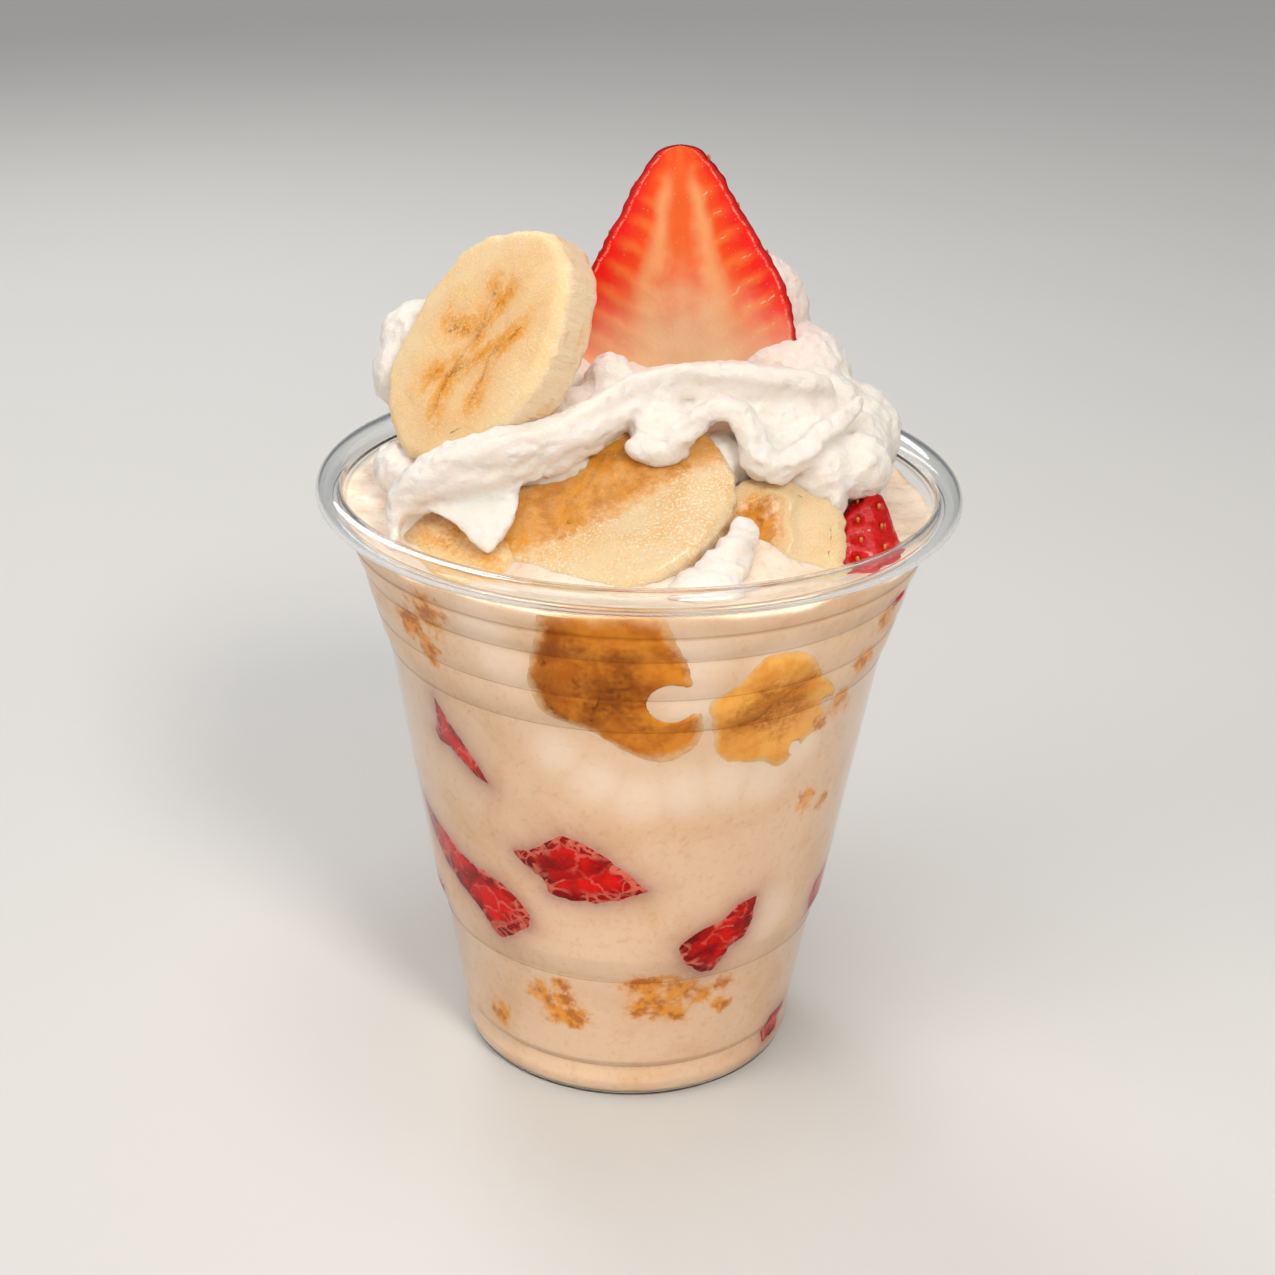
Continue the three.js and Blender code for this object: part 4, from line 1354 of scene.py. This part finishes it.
# Round lumps, each its centre and half sizes
LUMPS = [
    ((0, 8, 98), (33, 25, 10)), ((-8.5, -9.5, 107), (6.5, 5, 6)), ((-15, -12.5, 102), (9, 6, 5)),
    ((24, -6, 102), (7, 5, 5)), ((12.5, -12.5, 103), (5, 4, 4.4)),
    ((2.6, -16.2, 106), (4.6, 2.8, 2.5)), ((15, -26, 96.9), (2.3, 1.7, 2.7)),
    ((13.6, -28.2, 94.8), (2.9, 2.5, 3)), ((12, -30.6, 93.4), (3.6, 3, 3)),
    ((9.8, -33.4, 91.6), (5.4, 3.4, 2.9)), ((17.8, -17.4, 104.4), (2.8, 2.3, 2.2)),
    ((26, -12.4, 101.6), (5.4, 5, 5.4)), ((31.6, -9.6, 102), (5.4, 5, 5.4)),
    ((27.6, -14.6, 97.9), (3, 2.7, 2.8)), ((-4.6, -7.4, 113.2), (4, 3.6, 4.2)),
    ((31.5, -4, 102.5), (6.4, 5.6, 6.4)), ((4, 20, 108), (21, 12, 13)),
    ((3, 17, 117), (12, 9, 8.5)), ((17.5, 13, 117), (8, 8, 10.6)), ((11, 19, 114.5), (9, 8, 9.5)),
    ((22.4, 10, 108.4), (10, 9, 9.8)), ((30.5, 4, 102), (9.4, 9, 8.6)),
    ((30.6, -6, 96.8), (6.4, 5.5, 5.6)), ((26, 1, 107.4), (7.5, 6, 6)),
    ((-35.6, 8, 109), (6, 6, 6)), ((-33, 11, 113.6), (7.4, 6.6, 6.4)),
    ((-26, 15, 112.5), (8, 7, 8)), ((-28, 7, 103), (10, 9, 9)), ((-34.4, -5, 98), (5.6, 6, 4.4)),
    ((-2.5, -2.5, 109), (6, 5, 5.4)), ((3.4, -12.5, 108), (5, 4.4, 4.6)),
    ((-9, 14, 116), (9, 8, 9)), ((-15, 4, 107), (9, 9, 8)), ((-14, 22, 106), (13, 10, 11)),
    ((9, 26, 104), (13, 9, 11)), ((27, 20, 101), (9, 9, 7)), ((-29, 20, 101), (9, 9, 7)),
]
# Ropes of places, each with half its width and half its height
SWOOSH = [
    (-34.6, -23, 92.6, 1.5, 1.8), (-35, -21, 95, 1.7, 2), (-34.2, -19.8, 97.6, 2.2, 2.8),
    (-31, -19.8, 100.8, 3, 4), (-22.8, -19.5, 104, 3.4, 4.6), (-15.7, -18, 105.8, 3.4, 4.4),
    (-11, -16, 107.4, 3.4, 4), (-6.4, -14, 109.6, 3.4, 3.6), (-1.4, -10.5, 112, 3.6, 3.2),
    (3.8, -8.6, 113.6, 3.4, 2.8), (9, -7.4, 114, 3.4, 2.6), (14.3, -6.6, 113.8, 3.4, 2.6),
    (19.6, -5.6, 113.2, 3.2, 2.6), (25, -4.6, 112.6, 3, 2.6), (29.4, -3, 111, 2.8, 2.6),
]
CREST = [
    (-0.6, -15.4, 106.6, 3, 2.8), (4.3, -16.2, 107.4, 3, 2.6), (7, -16.4, 109.4, 2.2, 2.2),
    (9.2, -15.8, 111.6, 1.8, 1.8), (11.5, -15.6, 112.4, 1.8, 1.8), (14.2, -15.8, 111.4, 2, 2),
    (16, -16.6, 108.6, 2.2, 2.2), (17.2, -17.6, 105.6, 2.6, 2.4), (19.6, -17.6, 104.4, 2.8, 2.4),
    (22.5, -16.4, 105.4, 2.6, 2.2), (25.8, -13.6, 107.6, 2.2, 2.2), (30.1, -9.6, 110, 2, 2.2),
    (32.6, -5.6, 111.4, 2, 2.2),
]
# Thin sheets between two edges, with a thickness and how deep the middle lies back
SHEETS = [
    (
        [
            (-4, -12, 110.4), (3.8, -8.6, 113.2), (9, -7.4, 113.8), (14.3, -6.6, 113.8),
            (19.6, -5.6, 113), (25, -4.6, 112.2), (30, -3, 110.2),
        ],
        [
            (0.6, -15, 107.2), (6.4, -15.4, 109.4), (9.4, -15, 111.2), (12, -14.8, 111.4),
            (16, -15.2, 108.8), (19.5, -15.4, 106.2), (30.6, -8.2, 108.8),
        ],
        2.6,
        2.2,
    ),
    (
        [(-31, -20.5, 99.4), (-27, -21, 100.6), (-22.7, -21.3, 101.4), (-16.7, -21.3, 101.6)],
        [(-30.6, -21, 98), (-26.4, -23.4, 96.6), (-21.2, -27.5, 94.1), (-16.9, -24, 98.9)],
        2.2,
        0.5,
    ),
]
# Valleys and ridges drawn on the whipped cream: path, reach, and which way it is pushed
DRAWN_LINES = [
    ([(3, -13, 111), (9, -11.5, 113), (15, -11.6, 112), (22, -11, 110)], 2.2, (0, 1, -1)),
    (
        [(-34, -21, 101), (-22.8, -21.5, 107), (-11, -18, 110), (-1.4, -11.5, 114.6)],
        1.2,
        (0, -0.7, 0.7),
    ),
    (
        [(-1.4, -11.5, 114.6), (9, -8.6, 116.2), (19.6, -7, 115.4), (29, -4.6, 113.2)],
        1.1,
        (0, -0.6, 0.8),
    ),
    ([(-31, -22, 98.8), (-23, -23.6, 100.2), (-15, -22, 102.2)], 1.4, (0, 1.3, -0.3)),
    ([(20, 4, 125), (25, 2, 118), (29, -3, 112)], 1.5, (-0.6, 0.9, 0)),
    ([(26, 3, 121), (31, -1, 114), (36, -3, 106)], 1.3, (0.3, -0.6, 0)),
    ([(34, -8, 109), (33, -12, 104), (28, -16, 99)], 1.2, (0.2, -0.7, 0)),
]
BACK_FOLDS = [
    [
        (33, 9, 104, 5, 5), (23, 25, 104, 6, 5), (3, 33, 103, 6, 5), (-18, 29, 104, 6, 5),
        (-34, 13, 104, 5, 5),
    ],
    [(21, 16, 115, 5, 5), (8, 24, 117, 6, 5), (-9, 21, 115, 6, 5), (-22, 12, 111, 5, 5)],
]
LUMP_ROWS, LUMP_COLUMNS = 28, 40
ROPE_STEPS, ROPE_SIDES = 90, 36
SHEET_ROWS, SHEET_COLUMNS = 70, 30
FLUTES, FLUTE_DEPTH, FLUTE_TWIST = 5, 0.1, 0.16
LINE_STEPS = 60
LINE_MARGIN = 8  # a drawn line moves nothing further off than this
# Where the whipped cream is tinted pink near the strawberry: its middle and its reach
BLUSH_PLACE, BLUSH_REACH = (21, 8, 119), (7, 9, 9)
VOXEL = 0.46
SOFTEN_STEPS = 5


def lump_body(centre, half):
    level = np.linspace(0.04, math.pi - 0.04, LUMP_ROWS)[:, None]
    turn = around(LUMP_COLUMNS)[None, :]
    wide = np.sin(level)
    ball = [wide * np.cos(turn), wide * np.sin(turn), np.cos(level) * np.ones_like(turn)]
    return skin(np.dstack(ball) * np.array(half) + np.array(centre))


def rope_body(places):
    """A fluted rope with round ends along a curve."""
    path = curve(places, ROPE_STEPS)
    spine, sizes = path[:, :3], path[:, 3:]
    ahead = unit(np.gradient(spine, axis=0))
    side = unit(np.cross(ahead, (0, 0, 1)))
    up = np.cross(side, ahead)
    run = np.linspace(0.002, 0.998, ROPE_STEPS)
    taper = np.sqrt(1 - (2 * run - 1) ** 4)
    length = np.cumsum(np.linalg.norm(np.diff(spine, axis=0, prepend=spine[:1]), axis=1))
    turn = around(ROPE_SIDES)[None, :]
    flute = 1 + FLUTE_DEPTH * np.cos(FLUTES * turn + FLUTE_TWIST * length[:, None])
    across = (taper * sizes[:, 0])[:, None] * flute * np.cos(turn)
    high = (taper * sizes[:, 1])[:, None] * flute * np.sin(turn)
    rings = spine[:, None] + side[:, None] * across[..., None] + up[:, None] * high[..., None]
    return skin(rings)


def sheet_body(first, second, thickness, hollow):
    """A sheet between two edges with rounded rims, its middle pushed back."""
    share = np.linspace(0, 1, SHEET_COLUMNS)[None, :, None]
    first, second = (curve(edge, SHEET_ROWS)[:, None] for edge in (first, second))
    middle = first * (1 - share) + second * share
    along = np.gradient(middle, axis=0)
    across = np.gradient(middle, axis=1)
    normal = unit(np.cross(across, along))
    normal = normal * np.where(normal[..., 1:2] > 0, -1, 1)
    run = np.linspace(0.002, 0.998, SHEET_ROWS)[:, None, None]
    rim = np.sqrt(1 - (2 * share * 0.996 + 0.002 - 1) ** 4) * np.sqrt(1 - (2 * run - 1) ** 8)
    middle = middle - normal * hollow * 4 * share * (1 - share)
    half = normal * rim * thickness / 2
    return skin(np.concatenate([middle + half, (middle - half)[:, ::-1]], axis=1))


def fused(body):
    """Overlapping bodies melted into one mesh by a fine grid."""
    mesh = bpy.data.meshes.new("swirl_core")
    mesh.from_pydata((body[0] * MM).tolist(), [], body[1])
    core = put("swirl_core", mesh)
    grid = core.modifiers.new("fuse", "REMESH")
    grid.mode = "VOXEL"
    grid.voxel_size = VOXEL * MM
    smooth = core.modifiers.new("soften", "SMOOTH")
    smooth.factor = 0.5
    smooth.iterations = SOFTEN_STEPS
    solid = core.evaluated_get(bpy.context.evaluated_depsgraph_get())
    result = bpy.data.meshes.new_from_object(solid)
    bpy.data.objects.remove(core)
    bpy.data.meshes.remove(mesh)
    return result


def mesh_places(mesh):
    """Each corner's place in millimetres, and the way the skin looks there."""
    found = np.empty((2, len(mesh.vertices) * 3))
    mesh.vertices.foreach_get("co", found[0])
    mesh.vertices.foreach_get("normal", found[1])
    return found[0].reshape(-1, 3) / MM, found[1].reshape(-1, 3)


def drawn(points):
    """Points pushed along the drawn lines."""
    moved = points.copy()
    for path, reach, push in DRAWN_LINES:
        line = curve(path, LINE_STEPS)
        low, high = line.min(axis=0) - LINE_MARGIN, line.max(axis=0) + LINE_MARGIN
        near = np.all((points > low) & (points < high), axis=1)
        away = np.linalg.norm(points[near][:, None] - line[None], axis=2).min(axis=1)
        moved[near] += np.exp(-((away / reach) ** 2))[:, None] * np.array(push)
    return moved


def crinkled(points, stretch, size):
    """Sharp little ridges, longest along the axis in which stretch is smallest."""
    return 0.4 - 2 * np.abs(grain(points * stretch, size, 4))


def build_whipped_cream():
    bodies = [lump_body(*lump) for lump in LUMPS]
    bodies += [rope_body(places) for places in (SWOOSH, CREST, *BACK_FOLDS)]
    bodies += [sheet_body(*sheet) for sheet in SHEETS]
    mesh = fused(joined(bodies))
    points, normals = mesh_places(mesh)
    # Crinkles run level at the front, and up and down on the folds behind
    swell = grain(points, 9.0)
    upright = blend(14, 24, points[:, 0] + 0.6 * points[:, 1])
    upright = np.maximum(upright, blend(24, 30, 0.5 * points[:, 1] - points[:, 0]))
    level, steep = crinkled(points, (0.3, 1, 1), 2.8), crinkled(points, (1, 1, 0.28), 3.2)
    crinkle = level * (1 - upright) + steep * upright
    pucker = grain(points, 2.4, 6)
    fine = grain(points, 1.1, 9)
    pits = blend(0.3, 0.7, grain(points, 1.5, 12))
    push = 0.5 * swell + 0.36 * crinkle + 0.26 * pucker + 0.24 * fine - 0.5 * pits
    moved = drawn(points) + normals * push[:, None]
    mesh.vertices.foreach_set("co", (moved * MM).ravel())
    mesh.update()
    away = np.linalg.norm((points - BLUSH_PLACE) / BLUSH_REACH, axis=1)
    add_field(mesh, "blush", np.exp(-(away**2)))
    add_piece("whipped_swirl", mesh, whipped_finish(), "whipped_cream")


# Floor, lamps and camera

CAMERA_PLACE = (0, -317.87, 211.48)
CAMERA_AHEAD = (0.00085, 0.91259, -0.40887)
CAMERA_UP = (-0.02464, 0.40877, 0.91231)
CAMERA_ANGLE = 32.15
# Lamps in metres: name, place, size, watts and colour
LAMPS = [
    ("key", (0.26, -0.54, 0.6), 0.2, 3.2, (1, 0.95, 0.88)),
    ("fill", (-0.6, -0.4, 0.4), 0.4, 1.2, (1, 0.96, 0.92)),
    ("rim", (-0.25, 0.55, 0.55), 0.35, 1.6, (1, 1, 1)),
    ("top", (0.05, 0.0, 0.8), 0.3, 0.9, (1, 1, 1)),
]
LAMP_TARGET = (0, 0, 0.08)
SKY_STRENGTH = 0.75
SKY_SPREAD = 50
SKY_TURN = (25, -20, 0)
WORLD_COLOUR = (0.93, 0.95, 1, 1)
WORLD_STRENGTH = 0.22
FLOOR_COLUMNS = 96
FLOOR_RADII = (5, 60, 150, 400, 1200, 3000)
FLOOR_DROP = 0.05


def build_stage():
    profile = [(radius, -FLOOR_DROP) for radius in FLOOR_RADII]
    points = lathe(profile, FLOOR_COLUMNS).reshape(-1, 3)
    points = np.vstack([points, (0, 0, -FLOOR_DROP)])
    middle = len(points) - 1
    faces = ring_faces(len(profile), FLOOR_COLUMNS)
    faces += [(middle, (here + 1) % FLOOR_COLUMNS, here) for here in range(FLOOR_COLUMNS)]
    mesh = mesh_of("floor", (points, faces, {}))
    mesh.materials.append(floor_finish())
    floor = put("floor", mesh)
    world = bpy.data.worlds.new("studio")
    world.use_nodes = True
    back = world.node_tree.nodes["Background"]
    back.inputs["Color"].default_value = WORLD_COLOUR
    back.inputs["Strength"].default_value = WORLD_STRENGTH
    bpy.context.scene.world = world


def add_lamp(name, place, size, watts, colour):
    data = bpy.data.lights.new(name, "AREA")
    data.shape = "DISK"
    data.size = size
    data.energy = watts
    data.color = colour
    lamp = put(name, data)
    lamp.location = place
    lamp.rotation_mode = "QUATERNION"
    lamp.rotation_quaternion = (Vector(LAMP_TARGET) - Vector(place)).to_track_quat("-Z", "Y")


def add_sky():
    """One wide, even lamp, so that the floor stays pale far behind the cup."""
    data = bpy.data.lights.new("sky", "SUN")
    data.energy = SKY_STRENGTH
    data.angle = math.radians(SKY_SPREAD)
    put("sky", data).rotation_euler = [math.radians(angle) for angle in SKY_TURN]


def add_camera():
    data = bpy.data.cameras.new("camera")
    data.lens = data.sensor_width / 2 / math.tan(math.radians(CAMERA_ANGLE / 2))
    ahead, up = Vector(CAMERA_AHEAD).normalized(), Vector(CAMERA_UP).normalized()
    right = ahead.cross(up).normalized()
    turn = Matrix((right, right.cross(ahead), -ahead)).transposed()
    data.clip_start, data.clip_end = 0.01, 20
    camera = put("camera", data)
    camera.matrix_world = Matrix.Translation(Vector(CAMERA_PLACE) * MM) @ turn.to_4x4()
    bpy.context.scene.camera = camera


build_cup()
build_cream()
build_wall_fruit()
build_bananas()
berry_material = strawberry_finish("strawberry", 0.12, 0.0)
chunk_material = strawberry_finish("strawberry_skin", 0.2, 1.4)
pip_material = seed_finish()
build_strawberry_half(berry_material, pip_material)
build_strawberry_chunk(chunk_material, pip_material)
build_whipped_cream()
build_stage()
add_sky()
for lamp in LAMPS:
    add_lamp(*lamp)
add_camera()
bpy.context.scene.view_settings.view_transform = "Standard"
